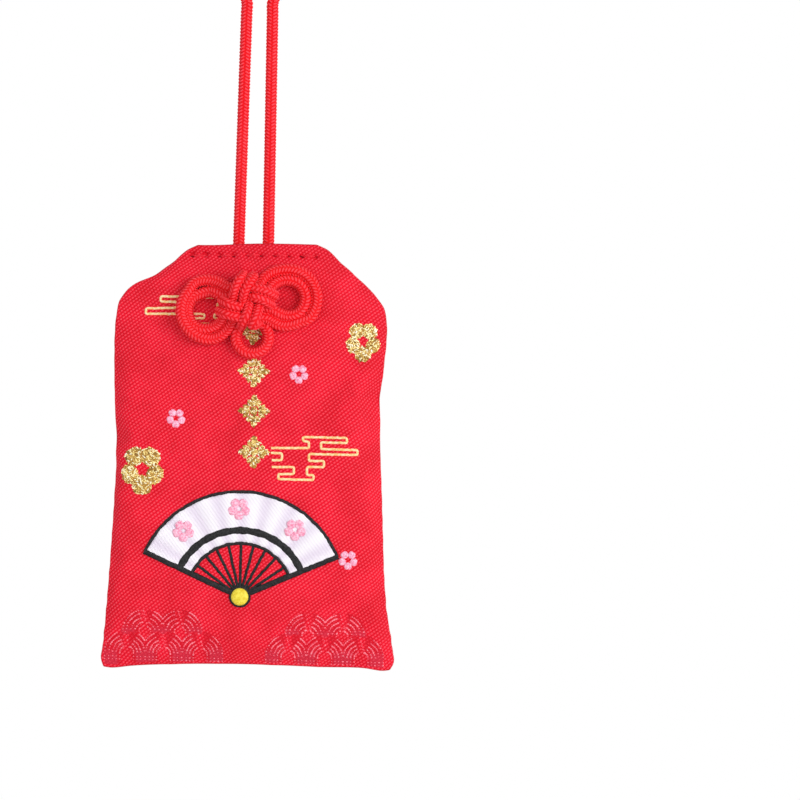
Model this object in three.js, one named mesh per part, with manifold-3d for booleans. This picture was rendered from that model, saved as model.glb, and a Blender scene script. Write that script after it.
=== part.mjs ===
import * as THREE from 'three';
import { mergeVertices } from 'three/addons/utils/BufferGeometryUtils.js';
import Module from 'manifold-3d';

const wasm = await Module();
wasm.setup();

// A sewn brocade charm pouch on a braided cord. Millimetres, +Z up, front facing -Y.
// The origin is the hanging point, under the top bend of the cord's loop.

// Pouch outline, seen from the front
const pouchHeight = 72.6;
const mouthWidth = 21.2;
const shoulderWidth = 46.8;
const shoulderCorner = 9.4; // depth below the mouth where shoulder and side would meet
const shoulderLead = 6.2; // how far from that corner the rounding starts
const waistWidth = 45.5;
const waistDepth = 32;
const hipWidth = 47.6;
const hipDepth = 57;
const baseWidth = 50;
const baseCorner = 4.2;

// Pouch thickness
const crownDepth = 5.8; // over the middle
const rimDepth = 1.3; // along the sewn edge
const edgeRun = 9; // from the edge to the full thickness
const mouthRun = 20; // from the mouth to the full thickness
const mouthShare = 0.3; // how much of the swelling is left at the mouth
const clothThickness = 0.5;
const clearance = 0.3;

// Filling
const padWidth = 35;
const padTop = 17;
const padBottom = 66.4;
const padCorner = 7;
const slipWidth = 27;
const slipHeight = 42;
const slipThickness = 0.8;
const slipPeak = 5;
const slipTop = 21;
const sleeveWall = 0.25;
const sleeveHeight = 40;

// Sewing
const threadDiameter = 0.4;
const needleHole = 1.1;
const stitchLength = 2.36;
const stitchHoles = 10;
const stitchDepth = 2.05; // stitch row below the mouth
const seamThread = 0.3;
const seamPitch = 4;
const seamInset = 1.7;

// Cord
const cordDiameter = 1.9;
const knotCord = 1.4; // drawn thinner where it is pulled tight
const strandPitch = 1.95; // neighbouring strands of the doubled cord
const loopRise = 50; // mouth to the inside of the top bend
const loopSpacing = 4.8;
const eyeRadius = 3.8; // top bend, two cord diameters
const eyeRun = 5.5; // height in which the strands spread to the top bend
const loopOffset = -0.2;
const strandDepth = 3; // strands behind the middle plane
const foldHeight = 3; // fold line above the mouth
const hitchDepth = 5.2; // centre of the sideways lean below the mouth
const hitchRadius = 2.7;
const crossingStep = 2.3; // one tail over the other behind the hole
const hitchSpread = 31; // degrees between a strand and the middle of the neck

// Ornamental knot: a doubled cord, two bands across and two bands down
const knotTilt = 9.5; // degrees
const knotOffset = -0.2;
const knotDepth = 10.7; // centre below the mouth
const bandOffset = 2.5; // middle of a band from the knot's centre
const layerStep = 2.65; // from a strand below to the strand above it
const layerRun = 1.3; // half the run in which a band changes layer
const archRise = 1.2; // how high a band arches on its way out of the knot
const backLayer = 1.95; // from the strands behind to the lower layer
const knotStandoff = 3.6; // rearmost strands from the middle plane
const earOffset = 6.75;
const earRadius = 4.2;
const earDrop = 1.0; // outer ends of the ears below the lower layer
const earLead = 1.85; // turn where a band runs into its ear
const diveReach = 6.05;
const diveRise = 0.7;
const loopDrop = 6.0; // centre of the lower loop below the knot's centre
const lowerLoop = 2.65;
const loopSlide = -0.2; // lower loop beside the knot's centre
const loopClimb = 2.2; // how high the lower loop starts over the ears
const holeRise = 5.55; // cord hole above the knot's centre
const holeShift = -0.85; // cord hole beside the knot's centre
const holeSlope = 1.5; // how much lower the cord leaves at the back

const radians = Math.PI / 180;
const smooth = (t) => {
  const s = Math.min(Math.max(t, 0), 1);
  return s * s * (3 - 2 * s);
};

// Closed solids and their cuts

function solidOf(geometry) {
  const bare = geometry.clone();
  bare.deleteAttribute('normal');
  bare.deleteAttribute('uv');
  const merged = mergeVertices(bare, 1e-4);
  return new wasm.Manifold(new wasm.Mesh({
    numProp: 3,
    vertProperties: Float32Array.from(merged.attributes.position.array),
    triVerts: Uint32Array.from(merged.index.array),
  }));
}

function geometryOf(solid) {
  const mesh = solid.getMesh();
  const geometry = new THREE.BufferGeometry();
  geometry.setAttribute('position', new THREE.BufferAttribute(Float32Array.from(mesh.vertProperties), 3));
  geometry.setIndex(Array.from(mesh.triVerts));
  geometry.computeVertexNormals();
  return geometry;
}

function geometryFrom(points, faces) {
  let volume = 0;
  for (const [i, j, k] of faces) {
    volume += points[i].dot(new THREE.Vector3().crossVectors(points[j], points[k]));
  }
  const geometry = new THREE.BufferGeometry();
  geometry.setAttribute('position', new THREE.BufferAttribute(
    Float32Array.from(points.flatMap((p) => [p.x, p.y, p.z])), 3));
  geometry.setIndex(faces.flatMap(([i, j, k]) => (volume > 0 ? [i, j, k] : [i, k, j])));
  geometry.computeVertexNormals();
  return geometry;
}

// Pouch outline

function halfOutline() {
  const side = shoulderWidth / 2;
  const mouth = new THREE.Vector2(mouthWidth / 2, 0);
  const corner = new THREE.Vector2(side, -shoulderCorner);
  const lead = corner.clone().sub(mouth).normalize().multiplyScalar(-shoulderLead).add(corner);
  const path = new THREE.Path();
  path.moveTo(0, 0);
  path.lineTo(mouth.x, mouth.y);
  path.lineTo(lead.x, lead.y);
  path.quadraticCurveTo(corner.x, corner.y, side, -shoulderCorner - shoulderLead);
  path.splineThru([
    new THREE.Vector2(waistWidth / 2, -waistDepth),
    new THREE.Vector2(hipWidth / 2, -hipDepth),
    new THREE.Vector2(baseWidth / 2, -pouchHeight + baseCorner),
  ]);
  path.quadraticCurveTo(baseWidth / 2, -pouchHeight, baseWidth / 2 - baseCorner, -pouchHeight);
  path.lineTo(0, -pouchHeight);
  return path;
}

const outlineHalf = halfOutline().getSpacedPoints(42);
const outline = [
  ...outlineHalf,
  ...outlineHalf.slice(1, -1).reverse().map((p) => new THREE.Vector2(-p.x, p.y)),
];

function edgeDistance(x, z) {
  let least = Infinity;
  outline.forEach((p, i) => {
    const q = outline[(i + 1) % outline.length];
    const dx = q.x - p.x;
    const dz = q.y - p.y;
    const t = Math.min(Math.max(((x - p.x) * dx + (z - p.y) * dz) / (dx * dx + dz * dz), 0), 1);
    least = Math.min(least, Math.hypot(x - p.x - t * dx, z - p.y - t * dz));
  });
  return least;
}

// Half thickness of the stuffed pouch at a place on its face
function swell(x, z) {
  const rise = Math.sin(Math.min(edgeDistance(x, z) / edgeRun, 1) * Math.PI / 2);
  const mouth = mouthShare + (1 - mouthShare) * smooth(-z / mouthRun);
  return (rimDepth + (crownDepth - rimDepth) * rise * mouth) / 2;
}

// A dished sheet between two depths, drawn in rings from its rim to its middle
function dish(rim, ringCount, outer, inner) {
  const middle = new THREE.Vector2();
  rim.forEach((p) => middle.add(p));
  middle.divideScalar(rim.length);
  const points = [];
  const faces = [];
  for (const depth of [outer, inner]) {
    for (let ring = 0; ring < ringCount; ring++) {
      const share = 1 - (ring / ringCount) ** 1.35;
      for (const p of rim) {
        const x = middle.x + (p.x - middle.x) * share;
        const z = middle.y + (p.y - middle.y) * share;
        points.push(new THREE.Vector3(x, depth(x, z), z));
      }
    }
    points.push(new THREE.Vector3(middle.x, depth(middle.x, middle.y), middle.y));
  }
  const count = rim.length;
  const half = ringCount * count + 1;
  for (const [base, flip] of [[0, false], [half, true]]) {
    const add = (i, j, k) => faces.push(flip ? [i, k, j] : [i, j, k]);
    for (let ring = 0; ring < ringCount; ring++) {
      for (let i = 0; i < count; i++) {
        const j = (i + 1) % count;
        const a = base + ring * count;
        if (ring === ringCount - 1) {
          add(a + i, a + j, base + half - 1);
        } else {
          add(a + i, a + j, a + count + j);
          add(a + i, a + count + j, a + count + i);
        }
      }
    }
  }
  for (let i = 0; i < count; i++) {
    const j = (i + 1) % count;
    faces.push([j, i, half + i], [j, half + i, half + j]);
  }
  return geometryFrom(points, faces);
}

// Cord routes

function tube(points, diameter, sides, steps) {
  const curve = new THREE.CatmullRomCurve3(points, false, 'centripetal');
  const section = new THREE.Shape();
  for (let i = 0; i < sides; i++) {
    const angle = (i / sides) * 2 * Math.PI;
    const x = Math.cos(angle) * diameter / 2;
    const y = Math.sin(angle) * diameter / 2;
    if (i === 0) section.moveTo(x, y);
    else section.lineTo(x, y);
  }
  section.closePath();
  return new THREE.ExtrudeGeometry(section, { steps, bevelEnabled: false, extrudePath: curve });
}

const halfPitch = strandPitch / 2;
const lowerLayer = backLayer;
const upperLayer = backLayer + layerStep;

// Middle line of the doubled cord from the cord hole to the place behind the knot's centre:
// across the knot, up the knot, towards the viewer, and the direction of the first strand
function knotHalf() {
  const a = bandOffset;
  const ear = lowerLayer - earDrop;
  const middle = (upperLayer + lowerLayer) / 2;
  const route = [
    [-a, a, upperLayer + archRise * 0.4, -17],
    [-a, layerRun, upperLayer, 0],
    [-a, 0, middle, 0],
    [-a, -layerRun, lowerLayer, 0],
  ];
  for (const angle of [0, -30, -60, -90]) {
    route.push([
      -a - earLead + earLead * Math.cos(angle * radians),
      -a - 0.1 + earLead * Math.sin(angle * radians),
      lowerLayer + (ear - lowerLayer) * (-angle / 180),
      angle,
    ]);
  }
  for (let angle = -115; angle >= -265; angle -= 25) {
    route.push([
      -earOffset + earRadius * Math.cos(angle * radians),
      earRadius * Math.sin(angle * radians),
      ear,
      angle,
    ]);
  }
  route.push(
    [-a * 1.75, a + halfPitch * 0.75, lowerLayer - earDrop * 0.35, -295],
    [-a, a, lowerLayer, -275],
    [-layerRun, a, lowerLayer, -270],
    [0, a, middle, -270],
    [layerRun, a, upperLayer, -272],
    [a, a * 0.95, upperLayer, -280],
    [diveReach - 2.3, a * 0.82, upperLayer + 0.4, -290],
    [diveReach - 1, a * 0.6, upperLayer + 0.35, -296],
    [diveReach, diveRise, upperLayer * 0.5, -294],
    [diveReach - 1.1, diveRise * 0.7, 0.3, -285],
    [diveReach - 2.6, diveRise * 0.4, 0, -278],
    [0, 0, 0, -272],
  );
  return route;
}

// The other half is the same half turned about the knot's centre; its first strand keeps its side
const firstHalf = knotHalf();
const archTop = [
  [holeShift, holeRise, lowerLayer - 0.2, 0],
  [holeShift - 0.1, holeRise - 0.05, upperLayer - 0.6, -5],
  [holeShift - 0.4, holeRise - 1, upperLayer + archRise * 0.9, -28],
  [holeShift - 1, bandOffset + halfPitch, upperLayer + archRise, -33],
];
const archBottom = [
  [bandOffset * 0.72, -bandOffset - halfPitch, upperLayer + archRise, -22],
  [bandOffset * 0.52, -bandOffset - 2 * halfPitch, upperLayer + archRise, -28],
];
const knotRoute = [
  ...archTop,
  ...firstHalf,
  ...firstHalf.slice(0, -1).reverse().map(([u, v, w, angle]) => [-u, -v, w, angle]),
  ...archBottom,
];

function strandPoints(side) {
  return knotRoute.map(([u, v, w, angle]) => new THREE.Vector3(
    u + side * halfPitch * Math.cos(angle * radians),
    -w,
    v + side * halfPitch * Math.sin(angle * radians)));
}

// Single loop below the knot, where the doubled cord turns back on itself
const lowerBight = [];
for (let angle = 0; angle >= -180; angle -= 30) {
  lowerBight.push(new THREE.Vector3(
    loopSlide + lowerLoop * Math.cos(angle * radians),
    -(lowerLayer - earDrop * 0.6 + loopClimb * (1 + Math.sin(angle * radians)) ** 1.5),
    -loopDrop + lowerLoop * Math.sin(angle * radians)));
}
lowerBight.push(
  new THREE.Vector3(loopSlide - lowerLoop * 0.75, -(upperLayer + 0.1), -bandOffset - 2.95 * halfPitch),
  new THREE.Vector3(loopSlide - lowerLoop * 0.25, -(upperLayer + 0.9), -bandOffset - 2.7 * halfPitch),
);

// Knot plane to pouch: turned by the tilt and set on the front face
function onPouch(p) {
  const t = knotTilt * radians;
  return new THREE.Vector3(
    knotOffset + p.x * Math.cos(t) - p.z * Math.sin(t),
    p.y - knotStandoff,
    -knotDepth + p.x * Math.sin(t) + p.z * Math.cos(t));
}

const holeFront = onPouch(new THREE.Vector3(holeShift, 0, holeRise));
const holeBack = holeFront.clone().setZ(holeFront.z - holeSlope);
const hitch = new THREE.Vector3(holeBack.x, strandDepth, -hitchDepth);

// Where a neck strand meets the knot's tail, on a circle about the sideways lean
function neckEnd(side, radius) {
  const angle = side * hitchSpread * radians;
  return new THREE.Vector3(
    hitch.x + radius * Math.sin(angle), strandDepth, hitch.z + radius * Math.cos(angle));
}

// Tail of the knot's cord from the front of the hole to the neck; the strands cross behind the hole
function tail(side, over) {
  const shift = new THREE.Vector3(side * halfPitch * Math.cos(knotTilt * radians), 0, side * halfPitch * Math.sin(knotTilt * radians));
  const front = holeFront.clone().add(shift);
  const back = holeBack.clone().add(shift);
  const end = neckEnd(-side, hitchRadius - clearance - 0.2).setY(strandDepth + (over ? 0.4 : 0));
  const depth = over ? strandDepth + crossingStep : strandDepth;
  return [
    front.clone().setY(-knotStandoff + 0.2),
    front.clone().lerp(back, 0.5).setY(0),
    back.clone().setY(strandDepth - 1.25 + (over ? 0.9 : 0)),
    new THREE.Vector3(hitch.x + side * halfPitch * 0.75, depth + (over ? 0.1 : -0.1), hitch.z - 0.45),
    new THREE.Vector3(hitch.x - side * halfPitch * 0.6, depth, hitch.z + 0.75),
    neckEnd(-side, hitchRadius - clearance - 0.85).setY(strandDepth + (over ? 1.35 : 0)),
    end,
  ];
}

const tailFirst = tail(1, true);
const tailSecond = tail(-1, false);
const knotPath = [
  ...tailFirst.slice().reverse(),
  ...strandPoints(1).map(onPouch),
  ...lowerBight.map(onPouch),
  ...strandPoints(-1).reverse().map(onPouch),
  ...tailSecond,
];

// Least gap of the knot to itself, on points along its middle line
function leastGap(points, diameter, steps) {
  const samples = new THREE.CatmullRomCurve3(points, false, 'centripetal').getSpacedPoints(steps);
  const along = [0];
  for (let i = 1; i < samples.length; i++) along.push(along[i - 1] + samples[i].distanceTo(samples[i - 1]));
  let least = Infinity;
  for (let i = 0; i < samples.length; i++) {
    for (let j = i + 1; j < samples.length; j++) {
      if (along[j] - along[i] < 2.6 * diameter) continue;
      least = Math.min(least, samples[i].distanceTo(samples[j]) - diameter);
    }
  }
  return { least, length: along[along.length - 1] };
}

const knotSteps = 300;
const knotGap = leastGap(knotPath, knotCord, 900);
console.log(`knot cord ${knotGap.length.toFixed(1)} mm, least gap to itself ${knotGap.least.toFixed(2)} mm`);

// Materials
const brocade = new THREE.MeshStandardMaterial({ color: 0xd91f33, roughness: 0.75, metalness: 0 });
const cordRed = new THREE.MeshStandardMaterial({ color: 0xd3213a, roughness: 0.7, metalness: 0 });
const threadRed = new THREE.MeshStandardMaterial({ color: 0xa81626, roughness: 0.8, metalness: 0 });
const wadding = new THREE.MeshStandardMaterial({ color: 0xf3f0e8, roughness: 0.95, metalness: 0 });
const paper = new THREE.MeshStandardMaterial({ color: 0xf7f4ea, roughness: 0.9, metalness: 0 });
const cypress = new THREE.MeshStandardMaterial({ color: 0xd9b98a, roughness: 0.7, metalness: 0 });

const charm = new THREE.Group();
const pouch = new THREE.Group();
pouch.position.set(-loopOffset, -strandDepth, -loopRise);
charm.add(pouch);

function place(name, geometry, material) {
  const mesh = new THREE.Mesh(geometry, material);
  mesh.name = name;
  pouch.add(mesh);
}

// Panels, with the cord's slot and the needle holes of the mouth's stitches
function slot(hole) {
  const half = strandPitch / 2;
  const radius = knotCord / 2 + clearance + 0.15;
  const shape = new THREE.Shape();
  shape.absarc(half, 0, radius, -Math.PI / 2, Math.PI / 2, false);
  shape.absarc(-half, 0, radius, Math.PI / 2, 1.5 * Math.PI, false);
  shape.closePath();
  const cut = new THREE.ExtrudeGeometry(shape, { depth: crownDepth, bevelEnabled: false, curveSegments: 5 });
  cut.translate(0, 0, -crownDepth / 2);
  cut.rotateX(Math.PI / 2);
  cut.rotateY(-knotTilt * radians);
  cut.translate(hole.x, hole.y, hole.z);
  return solidOf(cut);
}

const needleX = (i) => (i - (stitchHoles - 1) / 2) * stitchLength;
const needleCuts = [];
for (let i = 0; i < stitchHoles; i++) {
  const needle = new THREE.CylinderGeometry(needleHole / 2, needleHole / 2, crownDepth, 6);
  needle.translate(needleX(i), 0, -stitchDepth);
  needleCuts.push(solidOf(needle));
}

function panel(side) {
  const sheet = dish(outline, 6, (x, z) => side * swell(x, z), (x, z) => side * (swell(x, z) - clothThickness));
  const at = side < 0 ? holeFront.clone().lerp(holeBack, 0.25) : holeFront.clone().lerp(holeBack, 0.8);
  let solid = solidOf(sheet).subtract(slot(at.setY(side * crownDepth / 2)));
  for (const cut of needleCuts) solid = solid.subtract(cut);
  return geometryOf(solid);
}

place('front_panel', panel(-1), brocade);
place('back_panel', panel(1), brocade);

// Wadding pads, from the sleeve out to the cloth
const sleeveInside = slipThickness / 2 + clearance;
const sleeveOutside = sleeveInside + sleeveWall;
const padInside = sleeveOutside + clearance;

function padOutline() {
  const w = padWidth / 2;
  const shape = new THREE.Path();
  shape.moveTo(w - padCorner, -padTop);
  shape.quadraticCurveTo(w, -padTop, w, -padTop - padCorner);
  shape.lineTo(w, -padBottom + padCorner);
  shape.quadraticCurveTo(w, -padBottom, w - padCorner, -padBottom);
  shape.lineTo(padCorner - w, -padBottom);
  shape.quadraticCurveTo(-w, -padBottom, -w, -padBottom + padCorner);
  shape.lineTo(-w, -padTop - padCorner);
  shape.quadraticCurveTo(-w, -padTop, padCorner - w, -padTop);
  shape.lineTo(w - padCorner, -padTop);
  return shape.getSpacedPoints(40).slice(0, -1);
}

for (const [name, side] of [['front_pad', -1], ['back_pad', 1]]) {
  place(name, dish(padOutline(), 4,
    (x, z) => side * (swell(x, z) - clothThickness - clearance),
    () => side * padInside), wadding);
}

// Paper sleeve folded round the slip, open at both ends
const sleeveShape = new THREE.Shape();
const sleeveHalf = slipWidth / 2 + clearance + sleeveWall;
sleeveShape.moveTo(-sleeveHalf, -sleeveOutside);
sleeveShape.lineTo(sleeveHalf, -sleeveOutside);
sleeveShape.lineTo(sleeveHalf, sleeveOutside);
sleeveShape.lineTo(-sleeveHalf, sleeveOutside);
sleeveShape.closePath();
const sleeveBore = new THREE.Path();
const boreHalf = sleeveHalf - sleeveWall;
sleeveBore.moveTo(-boreHalf, -sleeveInside);
sleeveBore.lineTo(-boreHalf, sleeveInside);
sleeveBore.lineTo(boreHalf, sleeveInside);
sleeveBore.lineTo(boreHalf, -sleeveInside);
sleeveBore.closePath();
sleeveShape.holes.push(sleeveBore);
const sleeve = new THREE.ExtrudeGeometry(sleeveShape, { depth: sleeveHeight, bevelEnabled: false });
sleeve.translate(0, 0, -slipTop - slipHeight + (slipHeight - sleeveHeight) / 2);
place('paper_sleeve', sleeve, paper);

// Wooden slip with a peaked top
const slipShape = new THREE.Shape();
slipShape.moveTo(-slipWidth / 2, -slipTop - slipHeight);
slipShape.lineTo(slipWidth / 2, -slipTop - slipHeight);
slipShape.lineTo(slipWidth / 2, -slipTop - slipPeak);
slipShape.lineTo(0, -slipTop);
slipShape.lineTo(-slipWidth / 2, -slipTop - slipPeak);
slipShape.closePath();
const slip = new THREE.ExtrudeGeometry(slipShape, { depth: slipThickness, bevelEnabled: false });
slip.rotateX(Math.PI / 2);
slip.translate(0, slipThickness / 2, 0);
place('talisman_slip', slip, cypress);

// Running stitch that closes the mouth, in and out through the needle holes
const stitchRun = swell(0, -stitchDepth) + clearance + threadDiameter / 2;
const stitchPath = [new THREE.Vector3(needleX(0) - stitchLength * 0.45, stitchRun, -stitchDepth)];
for (let i = 0; i < stitchHoles; i++) {
  const from = i % 2 ? -1 : 1;
  for (const depth of [from, 0, -from]) {
    const lean = depth === 0 ? 0 : depth === from ? -0.22 : 0.22;
    stitchPath.push(new THREE.Vector3(needleX(i) + lean, depth * stitchRun * (depth === 0 ? 1 : 0.97), -stitchDepth));
  }
}
const stitchEnd = stitchHoles % 2 ? -1 : 1;
stitchPath.push(new THREE.Vector3(needleX(stitchHoles - 1) + stitchLength * 0.45, stitchEnd * stitchRun, -stitchDepth));
place('mouth_stitch', tube(stitchPath, threadDiameter, 5, 12 * stitchHoles), threadRed);

// Seam threads along the two sides, inside the cloth
const sideRun = outlineHalf.filter((p) => p.y < -shoulderCorner - shoulderLead && p.y > -pouchHeight + baseCorner);
const sideCurve = new THREE.SplineCurve(sideRun);
for (const [name, side] of [['left_seam_thread', -1], ['right_seam_thread', 1]]) {
  const waves = Math.round(sideCurve.getLength() / seamPitch);
  const path = [];
  for (let i = 0; i <= waves * 2; i++) {
    const p = sideCurve.getPointAt(i / (waves * 2));
    const x = side * (p.x - seamInset);
    const room = swell(x, p.y) - clothThickness - clearance - seamThread / 2;
    path.push(new THREE.Vector3(x, (i % 2 ? 1 : -1) * room, p.y));
  }
  place(name, tube(path, seamThread, 4, waves * 6), threadRed);
}

// Ornamental knot and its tails, one unbroken cord
place('ornament_knot', tube(knotPath, knotCord, 6, knotSteps), cordRed);

// Neck: two short strands behind the mouth
const strandX = (side) => loopOffset + side * loopSpacing / 2;
const neckTop = foldHeight - cordDiameter / 2 - clearance;
for (const [name, side] of [['neck_strand_left', -1], ['neck_strand_right', 1]]) {
  const start = neckEnd(side, hitchRadius);
  const away = neckEnd(side, hitchRadius + 0.7);
  place(name, tube([
    start,
    away,
    new THREE.Vector3(strandX(side), strandDepth, neckTop - 1.2),
    new THREE.Vector3(strandX(side), strandDepth, neckTop),
  ], cordDiameter, 8, 8), cordRed);
}

// Hanging loop: round-ended where it folds on the neck, spread into an eye at the top
const eyeHeight = loopRise + cordDiameter / 2 - eyeRadius;
const strandRun = (side) => [
  new THREE.Vector3(strandX(side), strandDepth, foldHeight),
  new THREE.Vector3(strandX(side), strandDepth, foldHeight + 0.4 * (eyeHeight - foldHeight)),
  new THREE.Vector3(strandX(side), strandDepth, eyeHeight - eyeRun - cordDiameter),
  new THREE.Vector3(strandX(side), strandDepth, eyeHeight - eyeRun),
  new THREE.Vector3((strandX(side) + loopOffset + side * eyeRadius) / 2, strandDepth, eyeHeight - eyeRun / 2),
];
const loopPath = strandRun(-1);
for (let angle = 180; angle >= 0; angle -= 30) {
  const across = eyeRadius * Math.cos(angle * radians);
  const up = eyeRadius * Math.sin(angle * radians);
  loopPath.push(new THREE.Vector3(loopOffset + across, strandDepth, eyeHeight + up));
}
loopPath.push(...strandRun(1).reverse());
let loop = solidOf(tube(loopPath, cordDiameter, 8, 72));
for (const side of [-1, 1]) {
  const end = new THREE.SphereGeometry(cordDiameter / 2, 8, 6);
  end.translate(strandX(side), strandDepth, foldHeight);
  loop = loop.add(solidOf(end));
}
place('hanging_loop', geometryOf(loop), cordRed);

export default charm;
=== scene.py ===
import functools
import math

import bmesh
import bpy
import numpy as np
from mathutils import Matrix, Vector
from mathutils.bvhtree import BVHTree


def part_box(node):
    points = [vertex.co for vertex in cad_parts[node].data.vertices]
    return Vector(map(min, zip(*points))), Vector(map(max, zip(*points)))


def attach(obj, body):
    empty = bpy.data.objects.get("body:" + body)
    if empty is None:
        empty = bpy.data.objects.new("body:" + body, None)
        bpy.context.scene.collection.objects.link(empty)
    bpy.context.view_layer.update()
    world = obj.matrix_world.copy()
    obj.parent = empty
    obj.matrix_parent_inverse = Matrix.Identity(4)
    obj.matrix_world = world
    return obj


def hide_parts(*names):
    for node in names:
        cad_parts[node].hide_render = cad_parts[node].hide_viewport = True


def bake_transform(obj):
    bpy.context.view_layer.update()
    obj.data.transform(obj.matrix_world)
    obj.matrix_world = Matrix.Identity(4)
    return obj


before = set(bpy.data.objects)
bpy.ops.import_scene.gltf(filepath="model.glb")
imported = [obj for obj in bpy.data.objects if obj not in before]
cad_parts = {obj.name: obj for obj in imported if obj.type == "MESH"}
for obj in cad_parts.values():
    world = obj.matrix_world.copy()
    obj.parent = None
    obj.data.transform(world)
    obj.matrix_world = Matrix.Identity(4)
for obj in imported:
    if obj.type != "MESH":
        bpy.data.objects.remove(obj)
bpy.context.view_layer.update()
scene = bpy.context.scene
mm = 0.001
pouchAt = (0.2, -3.0, -50.0)  # middle of the pouch's mouth, mm, front facing -Y
bothSides = (1, -1)  # front and back
castFrom = 50.0  # mm off a face, where rays towards the cloth start
print("frame loaded:", len(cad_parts), "nodes")


class Wire:
    # a node socket that takes part in sums; add() makes any other node
    def __init__(self, tree, socket=None):
        self.tree, self.socket = tree, socket

    def add(self, kind, settings=None, sockets=None, out=0):
        made = self.tree.nodes.new(kind)
        for name, value in (settings or {}).items():
            if name == "stops":
                ramp = made.color_ramp.elements
                while len(ramp) < len(value):
                    ramp.new(0.5)
                for stop, (at, colour) in zip(ramp, value):
                    stop.position, stop.color = at, colour
            elif name == "items":
                for form, label in value:
                    made.capture_items.new(form, label)
            else:
                setattr(made, name, value)
        for name, value in (sockets or {}).items():
            if isinstance(value, Wire):
                self.tree.links.new(value.socket, made.inputs[name])
            else:
                made.inputs[name].default_value = value
        return Wire(self.tree, made.outputs[out] if len(made.outputs) else None)

    def of(self, out):
        return Wire(self.tree, self.socket.node.outputs[out])

    def math(self, operation, *others):
        return self.add("ShaderNodeMath", {"operation": operation}, dict(enumerate((self,) + others)))

    def flipped(self, operation, other):
        return self.add("ShaderNodeMath", {"operation": operation}, {0: other, 1: self})

    def clamped(self):
        return self.math("MAXIMUM", 0.0).math("MINIMUM", 1.0)

    def ramp(self, low, high):
        return self.add("ShaderNodeMapRange", {"interpolation_type": "SMOOTHSTEP"},
                        {"Value": self, "From Min": low, "From Max": high})

    def blend(self, first, second):
        # this value mixes two colours
        return self.add("ShaderNodeMix", {"data_type": "RGBA"}, {0: self, 6: first, 7: second}, out=2)

    def vector(self, operation, other):
        slot = "Scale" if operation == "SCALE" else 1
        return self.add("ShaderNodeVectorMath", {"operation": operation}, {0: self, slot: other})


operators = {"add": "ADD", "sub": "SUBTRACT", "mul": "MULTIPLY", "truediv": "DIVIDE", "pow": "POWER"}
for name, operation in operators.items():
    setattr(Wire, f"__{name}__", functools.partialmethod(Wire.math, operation))
    setattr(Wire, f"__r{name}__", functools.partialmethod(Wire.flipped, operation))  # so that 1 - mask works


def srgb(red, green, blue):
    # screen colour, 0 to 255, as the linear colour that nodes take
    def line(c):
        c /= 255
        return c / 12.92 if c <= 0.04045 else ((c + 0.055) / 1.055) ** 2.4
    return (line(red), line(green), line(blue), 1.0)


def newMaterial(name, roughness, **fixed):
    made = bpy.data.materials.new(name)
    made.use_nodes = True
    shader = made.node_tree.nodes["Principled BSDF"]
    shader.inputs["Roughness"].default_value = roughness
    for label, value in fixed.items():
        shader.inputs[label.replace("_", " ")].default_value = value
    return made, Wire(made.node_tree), shader


def feed(wire, shader, socket, value):
    wire.tree.links.new(value.socket, shader.inputs[socket])


def bumpInto(wire, shader, height, distance):
    # distance in mm
    bump = wire.add("ShaderNodeBump", None, {"Height": height, "Distance": distance * mm})
    feed(wire, shader, "Normal", bump)


def objectPlace(wire):
    return wire.add("ShaderNodeTexCoord", out="Object")


def attribute(wire, name):
    return wire.add("ShaderNodeAttribute", {"attribute_name": name}, out="Fac")


def noise(wire, place, out=0, **sockets):
    return wire.add("ShaderNodeTexNoise", None, {"Vector": place, **sockets}, out=out)


def grainMaterial(name, low, high, roughness, grain, span=(0.3, 0.7), relief=0.04, stretch=None, **fixed):
    # a grain, drawn out by stretch, blends two shades and lifts the surface by relief, mm
    made, wire, shader = newMaterial(name, roughness, **fixed)
    place = objectPlace(wire)
    if stretch:
        place = wire.add("ShaderNodeMapping", None, {"Vector": place, "Scale": stretch})
    fibre = noise(wire, place, **grain)
    feed(wire, shader, "Base Color", fibre.ramp(*span).blend(low, high))
    bumpInto(wire, shader, fibre, relief)
    return made


def linked(name, data):
    made = bpy.data.objects.new(name, data)
    scene.collection.objects.link(made)
    return made


# Camera: level with the pouch's upper half, turned a little, because the charm hangs slightly off plumb
view = {
    "pixel": 0.1715,  # mm at the pouch
    "hangingPixel": (260.5, -47.9),
    "lean": 1.5,  # degrees
    "lens": 260.0,
    "sensor": 36.0,
    "size": 800,
    "pixelPlane": -2.0,  # y of the plane where a pixel has its size, from the pouch's middle
    "clip": (0.05, 20.0),  # m
}


def makeCamera():
    lean = math.radians(view["lean"])
    right, down = ((view["size"] / 2 - pixel) * view["pixel"] for pixel in view["hangingPixel"])
    x = right * math.cos(lean) + down * math.sin(lean)
    z = right * math.sin(lean) - down * math.cos(lean)
    data = bpy.data.cameras.new("camera")
    data.lens, data.sensor_width = view["lens"], view["sensor"]
    data.clip_start, data.clip_end = view["clip"]
    distance = view["size"] * view["pixel"] * data.lens / data.sensor_width
    camera = linked("camera", data)
    camera.location = Vector((x, pouchAt[1] + view["pixelPlane"] - distance, z)) * mm
    camera.rotation_euler = (math.radians(90), -lean, 0)
    scene.camera = camera


makeCamera()
print("camera placed")


def past(value, start, length):
    # 0 up to start, 1 from start + length on
    return np.clip((value - start) / length, 0, 1)


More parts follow.
